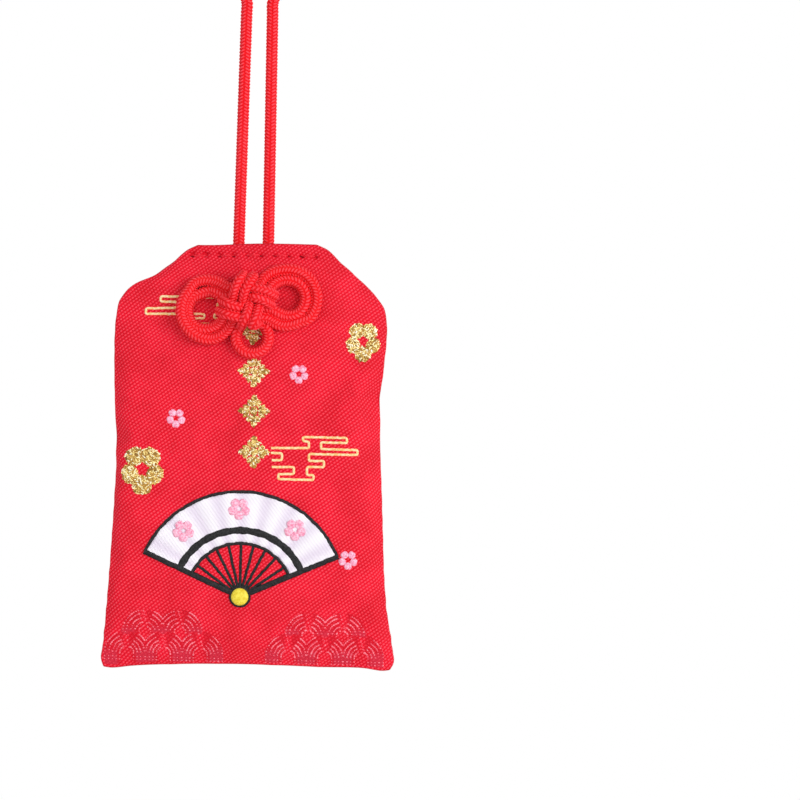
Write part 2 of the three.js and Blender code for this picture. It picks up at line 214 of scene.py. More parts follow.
def splinePoints(points, step):
    # centripetal curve through points, mm
    p = np.array(points, float)
    p = np.vstack([2 * p[0] - p[1], p, 2 * p[-1] - p[-2]])
    out = []
    for i in range(1, len(p) - 2):
        p0, p1, p2, p3 = p[i - 1 : i + 3]
        t0, t1, t2 = (max(np.linalg.norm(b - a), 1e-4) ** 0.5 for a, b in ((p0, p1), (p1, p2), (p2, p3)))
        m1 = ((p1 - p0) / t0 - (p2 - p0) / (t0 + t1) + (p2 - p1) / t1) * t1
        m2 = ((p2 - p1) / t1 - (p3 - p1) / (t1 + t2) + (p3 - p2) / t2) * t1
        count = max(2, int(np.linalg.norm(p2 - p1) / step))
        t = np.linspace(0, 1, count, endpoint=False)[:, None]
        leaving = p1 * (1 + t * t * (2 * t - 3)) + m1 * t * (1 - t) ** 2
        out.append(leaving + p2 * t * t * (3 - 2 * t) + m2 * t * t * (t - 1))
    return np.vstack(out + [p[-2:-1]])


def lineLength(line):
    return float(np.linalg.norm(np.diff(line, axis=0), axis=1).sum())


def newTree(name, **inputs):
    # a Geometry Nodes tree with a geometry in and out; returns the tree, a wire and the wires of its inputs
    # an input without a value is an object or a material, as its name says
    tree = bpy.data.node_groups.new(name, "GeometryNodeTree")
    tree.interface.new_socket(name="Geometry", in_out="INPUT", socket_type="NodeSocketGeometry")
    for label, value in inputs.items():
        kind = label if value is None else type(value).__name__.capitalize()
        socket = tree.interface.new_socket(name=label, in_out="INPUT", socket_type="NodeSocket" + kind)
        if value is not None:
            socket.default_value = value
    tree.interface.new_socket(name="Geometry", in_out="OUTPUT", socket_type="NodeSocketGeometry")
    wire = Wire(tree)
    group = wire.add("NodeGroupInput")
    given = {label: group.of(label) for label in ("Geometry", *inputs)}
    return tree, wire, given


def endTree(wire, geometry, material):
    real = wire.add("GeometryNodeRealizeInstances", None, {"Geometry": geometry})
    done = wire.add("GeometryNodeSetMaterial", None, {"Geometry": real, "Material": material})
    wire.add("NodeGroupOutput", None, {"Geometry": done})


def position(wire):
    return wire.add("GeometryNodeInputPosition")


def combined(wire, **parts):
    return wire.add("ShaderNodeCombineXYZ", None, parts)


def resampled(wire, curve, step):
    return wire.add("GeometryNodeResampleCurve", {"mode": "LENGTH"}, {"Curve": curve, "Length": step})


def captured(wire, curve, label, measure):
    # keeps each point's place along its curve as the second output
    along = wire.add("GeometryNodeSplineParameter", out=measure)
    settings = {"domain": "POINT", "items": [("FLOAT", label)]}
    return wire.add("GeometryNodeCaptureAttribute", settings, {0: curve, 1: along})


def circle(wire, sides, radius):
    sockets = {"Resolution": sides, "Radius": radius}
    return wire.add("GeometryNodeCurvePrimitiveCircle", {"mode": "RADIUS"}, sockets)


def swept(wire, path, ring, **more):
    sockets = {"Curve": path, "Profile Curve": ring, "Fill Caps": True, **more}
    return wire.add("GeometryNodeCurveToMesh", None, sockets)


def placed(wire, geometry, **sockets):
    return wire.add("GeometryNodeSetPosition", None, {"Geometry": geometry, **sockets})


def stored(wire, geometry, name, value, domain="POINT"):
    sockets = {"Geometry": geometry, "Name": name, "Value": value}
    return wire.add("GeometryNodeStoreNamedAttribute", {"data_type": "FLOAT", "domain": domain}, sockets)


def smoothed(wire, geometry):
    return wire.add("GeometryNodeSetShadeSmooth", None, {"Geometry": geometry})


def evaluatedMesh(source):
    bpy.context.view_layer.update()
    return bpy.data.meshes.new_from_object(source.evaluated_get(bpy.context.evaluated_depsgraph_get()))


def dressed(mesh, material):
    # one material over the whole mesh
    mesh.materials.clear()
    mesh.materials.append(material)


def grown(name, source, tree, values):
    # runs a tree on a source object and keeps the result as a plain mesh object at the origin
    modifier = source.modifiers.new("grow", "NODES")
    modifier.node_group = tree
    for item in tree.interface.items_tree:
        if item.item_type == "SOCKET" and item.in_out == "INPUT" and item.name in values:
            modifier[item.identifier] = values[item.name]
    mesh = evaluatedMesh(source)
    source.modifiers.remove(modifier)
    dressed(mesh, values["Material"])
    mesh.polygons.foreach_set("material_index", np.zeros(len(mesh.polygons), np.int32))
    mesh.name = name
    bpy.data.objects.remove(source)
    return linked(name, mesh)


def curveObject(name, lines, thin=None):
    # poly curves through points in mm; thin is the cord's share of its full thickness at each point
    data = bpy.data.curves.new(name, "CURVE")
    data.dimensions = "3D"
    for line in lines:
        spline = data.splines.new("POLY")
        spline.points.add(len(line) - 1)
        flat = np.ones((len(line), 4))
        flat[:, :3] = np.array(line) * mm
        spline.points.foreach_set("co", flat.ravel())
        if thin is not None:
            spline.points.foreach_set("radius", thin)
    return linked(name, data)


def meshObject(name, points, polygons):
    # points in mm
    data = bpy.data.meshes.new(name)
    data.from_pydata([tuple(float(c) * mm for c in p) for p in points], [], polygons)
    return linked(name, data)


# Braided cord: a tube along a path, with the yarns' beads raised on it
cord = {
    "diameter": 1.95,
    "solidRadius": 0.95,  # of the frame's cord, which hangs by the underside of its top bend
    "columns": 6.0,  # rows of beads round the cord
    "pitch": 0.58,  # mm from bead to bead
    "slant": 0.75,
    "relief": 0.21,
    "squareness": 0.3,  # the smaller, the flatter a bead is across
    "sunk": 0.65,  # share of a bead's height that lies inside the diameter
    "topSpacing": 4.3,  # strands at the top of the loop
    "neckSpacing": 5.1,  # strands at the mouth
    "eyeRadius": 3.85,  # top bend, two cord diameters
    "eyeRun": 5.5,  # height in which the strands spread to it
    "eyeStart": 1.6,  # straight run under it
    "joinDrop": 50.9,  # where the loop's skin meets the neck's
    "strandDrops": (49.0, 47.0, 44.0, 38.0, 31.0, 24.0, 17.0, 12.0),  # points under the hanging point
    "pathStep": 0.2,
}


def braidTree():
    tree, wire, given = newTree(
        "braidedCord", Diameter=0.0019, Columns=8.0, Pitch=0.0005, Slant=0.9, Relief=0.0002, Step=0.0001,
        Sides=32, Material=None)
    path = captured(wire, resampled(wire, given["Geometry"], given["Step"]), "along", "Length")
    ring = captured(wire, circle(wire, given["Sides"], given["Diameter"] / 2), "around", "Factor")
    tube = swept(wire, path, ring, Scale=wire.add("GeometryNodeInputRadius"))
    turn = ring.of(1) * given["Columns"]
    column = turn.math("FLOOR")
    inColumn = turn - column - 0.5
    odd = (column / 2).math("FRACT") * 2
    slant = inColumn * (1 - odd * 2) * given["Slant"]  # neighbouring columns slant opposite ways
    inBead = (path.of(1) / given["Pitch"] + odd * 0.5 + slant).math("FRACT") - 0.5
    across = (inColumn * math.pi).math("COSINE").math("MAXIMUM", 0.0) ** cord["squareness"]
    rise = (inBead * math.pi).math("COSINE") * across
    push = wire.add("GeometryNodeInputNormal").vector("SCALE", (rise - cord["sunk"]) * given["Relief"])
    beaded = stored(wire, placed(wire, tube, Offset=push), "rise", rise)
    endTree(wire, smoothed(wire, beaded), given["Material"])
    return tree


def cordMaterial():
    made, wire, shader = newMaterial("redCord", 0.7, Specular_IOR_Level=0.2)
    place = objectPlace(wire)
    fibre = noise(wire, place, Scale=6500.0, Detail=2.0)
    soft = noise(wire, place, Scale=260.0, Detail=2.0)
    # painted light and shade: bead tops are painted lighter and the grooves between beads darker, by the rise
    # attribute; the two noises are the yarn's own uneven tone
    beadShadeAndGrain = attribute(wire, "rise").ramp(0.35, 1.0) * 0.95 + (fibre - 0.5) * 0.35 + (soft - 0.5) * 0.3
    feed(wire, shader, "Base Color", beadShadeAndGrain.clamped().blend(srgb(234, 2, 18), srgb(255, 80, 92)))
    bumpInto(wire, shader, fibre, 0.04)
    return made


braid = braidTree()
redCord = cordMaterial()


def braided(name, path, thin=None):
    sizes = {label: cord[label.lower()] * mm for label in ("Diameter", "Pitch", "Relief")}
    sizes.update(Columns=cord["columns"], Slant=cord["slant"], Material=redCord)
    return grown(name, curveObject(name + "Path", [path], thin), braid, sizes)


def strandX(side, drop):
    spread = (cord["neckSpacing"] - cord["topSpacing"]) * past(drop, 0.0, -pouchAt[2])
    return side * (cord["topSpacing"] + spread) / 2


def loopPath():
    radius, middle = cord["eyeRadius"], cord["solidRadius"] - cord["eyeRadius"]
    spread = cord["eyeRun"] - middle
    drops = [cord["joinDrop"], *cord["strandDrops"], spread + cord["eyeStart"], spread]

    def strand(side):
        shoulder = ((strandX(side, spread) + side * radius) / 2, 0.0, middle - cord["eyeRun"] / 2)
        return [(strandX(side, d), 0.0, -d) for d in drops] + [shoulder]

    arc = [math.radians(angle) for angle in range(180, -1, -20)]
    eye = [(radius * math.cos(t), 0.0, middle + radius * math.sin(t)) for t in arc]
    return splinePoints(strand(-1) + eye + strand(1)[::-1], cord["pathStep"])


loopLine = loopPath()
hangingLoop = braided("hangingLoop", loopLine)

# Neck and half knot behind the mouth: the +X strand takes a turn round the other, and both go into the hole
neck = {
    "startDrop": 51.6,  # second point of both strands, under the hanging point
    "leftStrand": [
        (-2.5, 0.0, -52.4), (-2.25, -0.1, -53.6), (-1.75, -0.15, -54.9), (-1.45, -0.2, -56.0),
        (-1.3, -0.9, -56.7), (-1.25, -2.0, -56.6), (-1.2, -3.4, -56.0)],
    "rightStrand": [
        (2.45, 0.0, -52.6), (1.95, 0.0, -54.1), (1.0, -0.25, -55.3), (-0.3, -0.45, -55.95),
        (-1.7, -0.5, -56.15), (-3.0, 0.1, -55.9), (-3.45, 1.1, -55.2), (-2.6, 1.95, -54.6),
        (-1.3, 2.05, -53.9), (-0.15, 1.35, -53.45), (0.15, 0.45, -53.75), (-0.35, 1.3, -54.9),
        (-0.9, 1.45, -55.9), (-1.7, 0.9, -56.8), (-2.2, -0.6, -57.0), (-2.4, -2.0, -56.6),
        (-2.5, -3.4, -56.0)],
}


def neckPath(side, rest):
    drops = (cord["joinDrop"] - cord["pitch"] / 2, neck["startDrop"])  # starts just inside the loop's skin
    return splinePoints([(strandX(side, d), 0.0, -d) for d in drops] + rest, cord["pathStep"])


neckLeft = braided("neckStrandLeft", neckPath(-1, neck["leftStrand"]))
neckRight = braided("neckStrandRight", neckPath(1, neck["rightStrand"]))
print("neck strands made")

# Ornamental knot: the doubled cord's middle line over one half, turned about the centre for the other half
knot = {
    "at": (-0.6, -10.45),  # centre under the mouth, mm
    "tilt": 12.7,
    "recline": 0.08,  # follows the cloth, which falls back towards the mouth
    "standoff": 2.95,  # pouch's middle plane to the lowest cord
    "lower": 1.65, "upper": 3.75, "arch": 0.5,  # heights of the layers in the crossing
    "pairPitch": 0.83,  # half the distance between the two cords in the crossing
    "earPitch": 0.92,
    "pairRun": (3.0, 3.5),  # how far out the pair starts to spread, and over what length
    "thin": 0.86,  # drawn tight, the cord is thinner in the crossing
    "thinRun": (3.0, 2.5),
    "earOffset": 6.8, "earLift": 0.3, "earRadius": 4.0, "ear": -0.2,
    "earTurn": (-36, -313, 15),  # first and last angle, points
    "earClimb": (1.15, 60, 0.65, 35),  # height and turn where the cord comes down, and where it rises again
    "slipRun": (7.5, 3.0),  # at the far left the outer cord lies half over the inner one
    "slipIn": {1: 0.1, -1: 0.75},
    "slipRise": {1: 0.85, -1: 0.0},
    "ring": 2.75, "ringDrop": 6.0, "ringSide": -0.2, "ringRise": 0.1,
    "crossingShift": (-0.3, 0.35),  # the crossing sits a little off the middle of the ears
    "shiftRun": (3.5, 4.0),
    "shiftReach": 5.0,
    "pathStep": 0.15,
}


def cosine(degrees):
    return math.cos(math.radians(degrees))


def sine(degrees):
    return math.sin(math.radians(degrees))


def knotRoute():
    # points of the middle line: u, v, height, direction from the middle line to the first cord
    lower, upper, arch = knot["lower"], knot["upper"], knot["arch"]
    half = [(1.0, 4.1, upper - 0.75, -15), (0.4, 3.55, upper + arch * 0.5, -28),
            (-0.2, 2.85, upper + arch, -32), (-0.75, 1.95, upper + 0.2, -28), (-1.2, 0.95, upper - 0.6, -26),
            (-1.75, -0.1, lower + 0.45, -30), (-2.35, -0.95, lower, -38), (-2.95, -1.65, lower - 0.25, -42)]
    first, last, count = knot["earTurn"]
    fall, fallTurn, climb, climbTurn = knot["earClimb"]
    for angle in np.linspace(first, last, count):
        rise = fall * max(0, 1 + (angle - first) / fallTurn) ** 2
        rise += climb * max(0, 1 - (angle - last) / climbTurn) ** 2
        u = -knot["earOffset"] + knot["earRadius"] * cosine(angle)
        v = knot["earLift"] + knot["earRadius"] * sine(angle)
        half.append((u, v, knot["ear"] + rise, angle))
    half += [(-3.35, 2.6, lower - 0.7, -303), (-2.5, 2.25, lower - 0.25, -290), (-1.6, 2.1, lower, -281),
             (-0.7, 2.0, lower + 0.1, -276), (0.3, 1.85, lower + 0.55, -275),
             (1.15, 1.55, upper - 0.55, -277), (1.9, 1.25, upper + 0.1, -281), (2.6, 0.95, upper + 0.2, -285),
             (3.3, 0.55, upper + 0.1, -292), (4.0, 0.0, upper * 0.8, -298), (4.35, -0.35, upper * 0.42, -296),
             (3.7, -0.35, 0.3, -287), (2.4, -0.2, 0, -280), (0, 0, 0, -272)]
    turned = [(-u, -v, w, angle) for u, v, w, angle in reversed(half[3:-1])]
    return half + turned + [(0.2, -2.85, upper + arch, -32), (-0.4, -3.5, upper - 0.1, -30)]


def pairedCord(route, side):
    # one of the two cords beside the middle line
    out = []
    for u, v, w, angle in route:
        share = past(math.hypot(u, v), *knot["pairRun"])
        slip = past(-u, *knot["slipRun"])
        pitch = knot["pairPitch"] + (knot["earPitch"] - knot["pairPitch"]) * share
        beside = side * pitch * (1 - slip * knot["slipIn"][side])
        rise = slip * knot["slipRise"][side]
        out.append((u + beside * cosine(angle), v + beside * sine(angle), w + rise))
    return out


def onPouch(u, v, w):
    # from the knot's own plane and height to the frame
    share = 1 - past(abs(u), *knot["shiftRun"]) if abs(v) < knot["shiftReach"] else 1
    u, v = u + knot["crossingShift"][0] * share, v + knot["crossingShift"][1] * share
    right = u * cosine(knot["tilt"]) - v * sine(knot["tilt"])
    up = u * sine(knot["tilt"]) + v * cosine(knot["tilt"])
    back = knot["recline"] * up - knot["standoff"] - w
    return (pouchAt[0] + knot["at"][0] + right, pouchAt[1] + back, pouchAt[2] + knot["at"][1] + up)


def knotPath():
    lower, radius, route = knot["lower"], knot["ring"], knotRoute()
    ring = [(knot["ringSide"] + radius * cosine(d), radius * sine(d) - knot["ringDrop"], knot["ringRise"])
            for d in range(48, -229, -23)]
    # both cords turn under themselves and come out as the lower loop
    fold = [(0.75, -4.0, lower + 0.65), (1.35, -3.75, lower - 0.55)]
    backFold = [(-1.35, -3.45, lower - 0.1)]
    # tails out of the hole
    right = [(1.0, 3.75, -1.6), (1.2, 3.85, -0.4), (1.7, 4.05, 0.7), (2.0, 4.05, 1.9)]
    left = [(0.2, 3.85, -1.6), (0.25, 4.05, -0.4), (0.35, 4.45, 0.8), (0.3, 4.6, 1.9)]
    there, back = pairedCord(route, 1), pairedCord(route, -1)[::-1]
    points = right + there + fold + ring + backFold + back + left[::-1]
    line = splinePoints([onPouch(*p) for p in points], knot["pathStep"])
    centre = onPouch(0, 0, 0)
    away = past(np.hypot(line[:, 0] - centre[0], line[:, 2] - centre[2]), *knot["thinRun"])
    return line, knot["thin"] + (1 - knot["thin"]) * away


knotLine, knotThin = knotPath()
ornamentKnot = braided("ornamentKnot", knotLine, knotThin)
print("ornamental knot:", round(lineLength(knotLine), 1), "mm of cord")

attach(ornamentKnot, "pouch")
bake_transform(hangingLoop)
for piece in (neckLeft, neckRight):
    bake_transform(piece)
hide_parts("hanging_loop")
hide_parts("neck_strand_left")
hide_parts("neck_strand_right")
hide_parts("ornament_knot")

# Pouch: two sheets sewn round the edge, blown up as the wadding does it; depths are under the mouth
pouch = {
    "height": 72.7,
    # sides as depth and reach, hem and mouth as x and depth
    "leftSide": [(0, 9.4), (0.9, 11.4), (3.3, 14.0), (5.5, 17.0), (7.5, 20.65), (10, 22.8), (14, 23.5),
                 (24, 23.4), (37, 22.75), (54, 23.3), (69, 24.2), (72, 24.48), (72.7, 23.95)],
    "rightSide": [(0, 10.4), (0.8, 12.6), (3, 15.0), (7.5, 20.15), (10.5, 22.6), (14, 23.2),
                  (27, 22.35), (44, 23.1), (61.4, 24.25), (69.5, 25.62), (71.9, 25.83), (72.7, 25.1)],
    "hem": [(-24.3, 73.3), (-22.6, 73.5), (-19.0, 73.05), (-12.0, 72.6), (0.0, 72.3), (14.0, 72.44),
            (20.5, 72.42), (23.8, 72.84), (25.6, 72.62)],
    "mouth": [(-10.5, 0.36), (-7.0, 0.3), (0.0, -0.13), (5.0, -0.24), (10.5, -0.24)],
    "outlineStep": 0.1,
    "hemRun": 14.0,  # how far the hem's and the mouth's lines are felt
    "mouthRun": 7.0,
    "outset": 0.06,
    "uneven": ((0.05, 1.9, 0.0), (0.04, 3.1, 1.0)),  # sides: size, turn per mm of depth, start
    "rim": 1.3,  # thickness at the seam
    "crown": 5.9,  # thickness in the middle
    "columns": 60,
    "rows": 86,
    "rowBunch": 0.09,  # rows stand closer at the mouth and the base, columns at the sides
    "columnBunch": 0.92,
    "startDome": 1.2,
    "seamOut": 0.2,
    "solverScale": 10.0,  # the solver is steady at ten times the size
    "frames": 20,
    "cloth": {"quality": 6, "mass": 0.3, "tension_stiffness": 30, "compression_stiffness": 30,
              "shear_stiffness": 12, "bending_stiffness": 2.0, "air_damping": 2, "use_pressure": True,
              "uniform_pressure_force": 0.6},
    "stitchDepth": 2.05,
    "stitchLength": 2.36,
    "stitchHoles": 10,
    "needle": (0.55, 0.4, 0.4),  # half width, half height and depth of the dent at a needle hole
    "groove": (10.5, 0.6, 0.14),  # the same of the line that joins them
    "cordHoles": ((-1.3, -6.4, 1), (-1.95, -6.7, -1)),  # x, z and face
    "pull": (0.75, 1.5),  # depth and reach of the dent at the cord's hole
    "pleats": (0.12, 5, 0.6, 2.6, 1.4),  # round it: depth, number, turn, ring and its width
    "ripple": 0.09,
    "ripples": ((1.0, 0.42, 0.31, 1, 0.0), (1.0, 0.21, -0.52, 2, 0.0), (0.7, 0.75, -0.2, 0, 1.3),
                (0.6, 0.3, 0.9, 0, 0.0)),  # height, turn per mm of x and of z, by face, start
}
weave = {
    "perUv": 100.0,  # mm
    "backShift": 51 * pouch["stitchLength"],  # the back takes its own part of the weave
    "slant": 17.6,
    "pitch": 0.6535,
    "row": 0.4637,
    "stagger": 0.4475,
    "wander": (0.5, 0.35),  # along and across the rows
    "floatAxis": (0.554, 0.831),  # a float is longer up the twill than across it
    "floatDraw": 0.52,
    "floatEdge": (0.05, 0.24),
}


def drawnLine(name):
    return splinePoints(pouch[name], pouch["outlineStep"]).T


def reachAt(side, level):
    # how far the outline lies from the pouch's middle at a depth, softened
    depth = np.linspace(0, pouch["height"], 1455)
    kernel = np.exp(-np.linspace(-2, 2, 25) ** 2)
    padded = np.pad(np.interp(depth, *drawnLine(side)), len(kernel) // 2, mode="edge")
    return np.interp(level, depth, np.convolve(padded, kernel / kernel.sum(), mode="valid"))


def flatPouch():
    # front and back grids share a ring of seam points; returns points, faces, a grid's count and border
    rows, columns = pouch["rows"], pouch["columns"]
    share = np.linspace(0, 1, rows + 1)
    level = pouch["height"] * (share - pouch["rowBunch"] * np.sin(2 * np.pi * share))
    quarter = np.pi / 2 * pouch["columnBunch"]
    across = np.sin(np.linspace(-1, 1, columns + 1) * quarter)[None, :] / math.sin(quarter)
    left, right = (reachAt(side, level)[:, None] for side in ("leftSide", "rightSide"))
    x = np.where(across < 0, across * left, across * right)
    z = -np.repeat(level[:, None], columns + 1, axis=1)
    inner = (1 - np.abs(across)) * np.minimum(share, 1 - share)[:, None]
    dome = pouch["rim"] / 2 + pouch["startDome"] * np.clip(inner * 8, 0, 1)
    count = x.size
    points = np.concatenate([np.stack([x, y, z], -1).reshape(-1, 3) for y in (-dome, dome)])
    index = np.arange(count).reshape(rows + 1, columns + 1)
    polygons = []
    for r in range(rows):
        for c in range(columns):
            a, b, d, e = index[r, c], index[r, c + 1], index[r + 1, c + 1], index[r + 1, c]
            polygons.append((a, e, d, b))
            polygons.append((count + a, count + b, count + d, count + e))
    border = list(index[0, :]) + list(index[1:, -1]) + list(index[-1, -2::-1]) + list(index[-2:0:-1, 0])
    ring = 2 * count + np.arange(len(border))
    edge = points[border].copy()
    along = np.roll(edge, -1, axis=0) - np.roll(edge, 1, axis=0)
    out = np.stack([-along[:, 2], np.zeros(len(along)), along[:, 0]], -1)
    out /= np.linalg.norm(out, axis=1)[:, None]
    edge[:, 1] = 0
    points = np.concatenate([points, edge + out * pouch["seamOut"]])
    for i in range(len(border)):
        j = (i + 1) % len(border)
        polygons.append((border[i], border[j], ring[j], ring[i]))
        polygons.append((ring[i], ring[j], count + border[j], count + border[i]))
    return points, polygons, count, border


flatPoints, flatFaces, sheetCount, seamBorder = flatPouch()
print("pouch cut:", len(flatPoints), "points")


def pointsOf(mesh):
    where = np.zeros(len(mesh.vertices) * 3, np.float32)
    mesh.vertices.foreach_get("co", where)
    return where.reshape(-1, 3).astype(float)


def sewnPouch():
    # pinned at the mouth's stitch, the rest is blown up
    scale = pouch["solverScale"]
    body = meshObject("pouchCloth", flatPoints * scale, flatFaces)
    pinned = body.vertex_groups.new(name="stitched")
    top = np.where(flatPoints[:, 2] > -pouch["stitchDepth"] - 0.5)[0]
    pinned.add([int(i) for i in top], 1.0, "REPLACE")
    cloth = body.modifiers.new("cloth", "CLOTH")
    for name, value in pouch["cloth"].items():
        setattr(cloth.settings, name, value)
    cloth.settings.effector_weights.gravity = 0
    cloth.settings.vertex_group_mass = pinned.name
    cloth.collision_settings.use_self_collision = False
    cloth.point_cache.frame_start, cloth.point_cache.frame_end = 1, pouch["frames"]
    for number in range(1, pouch["frames"] + 1):
        scene.frame_set(number)
    where = pointsOf(body.evaluated_get(bpy.context.evaluated_depsgraph_get()).data) / scale / mm
    print("cloth moved at most", round(float(np.linalg.norm(where - flatPoints, axis=1).max()), 2), "mm")
    scene.frame_set(1)
    bpy.data.objects.remove(body)
    return where


def fitted(points):
    # the sewn edge goes back to the drawn outline, hem and mouth
    where = points.copy()
    ringOf = {point: 2 * sheetCount + i for i, point in enumerate(seamBorder)}
    index = np.arange(sheetCount).reshape(pouch["rows"] + 1, pouch["columns"] + 1)
    level = -flatPoints[index[:, 0], 2]
    uneven = sum(size * np.sin(level * turn + start) for size, turn, start in pouch["uneven"])
    for side, name, ends in ((-1, "leftSide", index[:, 0]), (1, "rightSide", index[:, -1])):
        reach = reachAt(name, level) + pouch["outset"] + uneven
        for row, end, far in zip(index, ends, reach):
            own = np.concatenate([row, row + sheetCount, [ringOf[p] for p in row if p in ringOf]])
            half = own[points[own, 0] * side > 0]
            where[half, 0] *= far / abs(points[ringOf[end], 0])
    for name, row in (("hem", index[-1]), ("mouth", index[0])):
        ring = where[[ringOf[p] for p in row]]
        ring = ring[np.argsort(ring[:, 0])]
        short = -np.interp(where[:, 0], *drawnLine(name)) - np.interp(where[:, 0], ring[:, 0], ring[:, 2])
        where[:, 2] += short * np.exp(-np.abs(points[:, 2] - ring[:, 2].mean()) / pouch[name + "Run"])
    return where


pouchPoints = fitted(sewnPouch())
pouchSpan = pouchPoints.max(axis=0) - pouchPoints.min(axis=0)
print("pouch blown up:", " x ".join(str(round(float(s), 2)) for s in pouchSpan), "mm")


def smoothPouch():
    # crown to its size, places in the weave on a UV map, one subdivision
    body = meshObject("pouchSmooth", pouchPoints * (1, pouch["crown"] / pouchSpan[1], 1), flatFaces)
    corners = np.zeros(len(body.data.loops), np.int32)
    body.data.loops.foreach_get("vertex_index", corners)
    onBack = np.repeat([max(f) >= sheetCount for f in flatFaces], 4)
    places = flatPoints[corners][:, [0, 2]]
    places[onBack, 0] = weave["backShift"] - places[onBack, 0]
    uv = body.data.uv_layers.new(name="weave")
    uv.data.foreach_set("uv", (places / weave["perUv"]).ravel())
    smooth = body.modifiers.new("smooth", "SUBSURF")
    smooth.levels = smooth.render_levels = 1
    mesh = evaluatedMesh(body)
    bpy.data.objects.remove(body)
    return mesh


def pressedIn(x, y, z):
    # y with the dents of the needle and of the cord's hole, and with slow ripples of stuffed cloth
    side = np.sign(y)
    wide, high, deep = pouch["needle"]
    row = z + pouch["stitchDepth"]
    press = np.zeros(len(y))
    for i in range(pouch["stitchHoles"]):
        needleX = (i - (pouch["stitchHoles"] - 1) / 2) * pouch["stitchLength"]
        press += deep * np.exp(-((x - needleX) / wide) ** 2 - (row / high) ** 2)
    wide, high, deep = pouch["groove"]
    press += deep * np.exp(-(row / high) ** 2) * (np.abs(x) < wide)
    pull, reach = pouch["pull"]
    deep, number, start, ring, width = pouch["pleats"]
    for holeX, holeZ, face in pouch["cordHoles"]:
        r = np.hypot(x - holeX, z - holeZ)
        turn = np.arctan2(z - holeZ, x - holeX)
        pleat = deep * np.cos(number * turn + start) * np.exp(-((r - ring) / width) ** 2)
        press += (side == -face) * (pull * np.exp(-(r / reach) ** 2) + pleat)
    y = y - side * np.minimum(press, np.abs(y) * 0.8)
    inside = past(np.abs(y), pouch["rim"] * 0.6, 1.5)
    ripple = 0.0
    for size, perX, perZ, perFace, start in pouch["ripples"]:
        ripple = ripple + size * np.sin(perX * x + perZ * z + perFace * side + start)
    return y + side * pouch["ripple"] * ripple * inside


def shapedPouch():
    mesh = smoothPouch()
    x, y, z = (pointsOf(mesh) / mm).T
    y = pressedIn(x, y, z)
    where = np.stack([x, y, z], -1) + np.array(pouchAt)
    mesh.vertices.foreach_set("co", (where * mm).astype(np.float32).ravel())
    mesh.update()
    # seam mask, 1 at the sewn edge: the brocade uses it for fewer floats, a dent in the bump and painted
    # shade
    seam = mesh.attributes.new("seam", "FLOAT", "POINT")
    seam.data.foreach_set("value", 1 - past(np.abs(y), 0.0, pouch["rim"] * 0.5))
    mesh.shade_smooth()
    return linked("pouchCloth", mesh)


pouchCloth = shapedPouch()
print("pouch shaped:", len(pouchCloth.data.polygons), "faces")

# Woven waves along the base: rows of scallops, with runs of (first centre, pitch, count) left and right
wave = {
    "lower": {"runs": ((-20.05, 6.32, 3), (7.65, 6.28, 3)), "depth": 70.75,
              "radii": (1.2, 1.8, 2.4, 3.1, 3.8), "flank": (-0.05, 1.1), "open": 0.25, "feet": (0.6, 1.1)},
    "upper": {"runs": ((-17.0, 6.05, 2), (10.95, 5.9, 2)), "depth": 67.05,
              "radii": (1.0, 1.7, 2.45, 3.2, 3.8), "flank": (0.55, 1.25), "open": 0.04, "feet": ()},
    "tops": 0.3,  # sideways step of the floats at the arcs' tops
    "backRise": 1.6,  # how much higher they are on the back
    "backStrip": 70.4,  # depth where the back's plain strip along the fold starts
}


def scallops(row, x, z):
    # 1 among a row's arcs, 1 at their feet, and the height over their centres
    sides = []
    for first, pitch, count in row["runs"]:
        nearest = ((x - first) / pitch).math("ROUND").math("MAXIMUM", 0.0).math("MINIMUM", count - 1.0)
        sides.append((x - first - nearest * pitch).math("ABSOLUTE"))
    beside = sides[0].math("MINIMUM", sides[1])
    above = z + row["depth"]
    raised = above.math("MAXIMUM", 0.0)
    out = (beside * beside + raised * raised).math("SQRT")
    outer = row["radii"][-1]
    inside = (1 - out.ramp(outer, outer + 0.3)) * out.ramp(0.8, 1.2) * beside.ramp(0.2, 0.9)
    inside = inside * above.ramp(-1.6, -1.4)  # the feet end short of the fold
    return inside, inside * beside.ramp(1.2, 1.9) * (1 - above.ramp(0.2, 1.6)), above


def needleSlits(x, z):
    # painted shadow: short slanting dark slits under the mouth, at the needle dents, some darker than others
    row = z + pouch["stitchDepth"]
    hole = x / pouch["stitchLength"]
    beside = ((hole.math("FRACT") - 0.5) * pouch["stitchLength"] + row * 1.3) / 0.4
    slit = (beside * beside + (row / 0.2) * (row / 0.2)).math("SQRT")
    slitDarkness = 0.55 + 0.3 * (hole.math("FLOOR") * 2.4 + 1.0).math("SINE")
    half = pouch["stitchHoles"] / 2 * pouch["stitchLength"]
    return (1 - slit.ramp(0.45, 1.0)) * (1 - x.math("ABSOLUTE").ramp(half - 0.4, half)) * slitDarkness


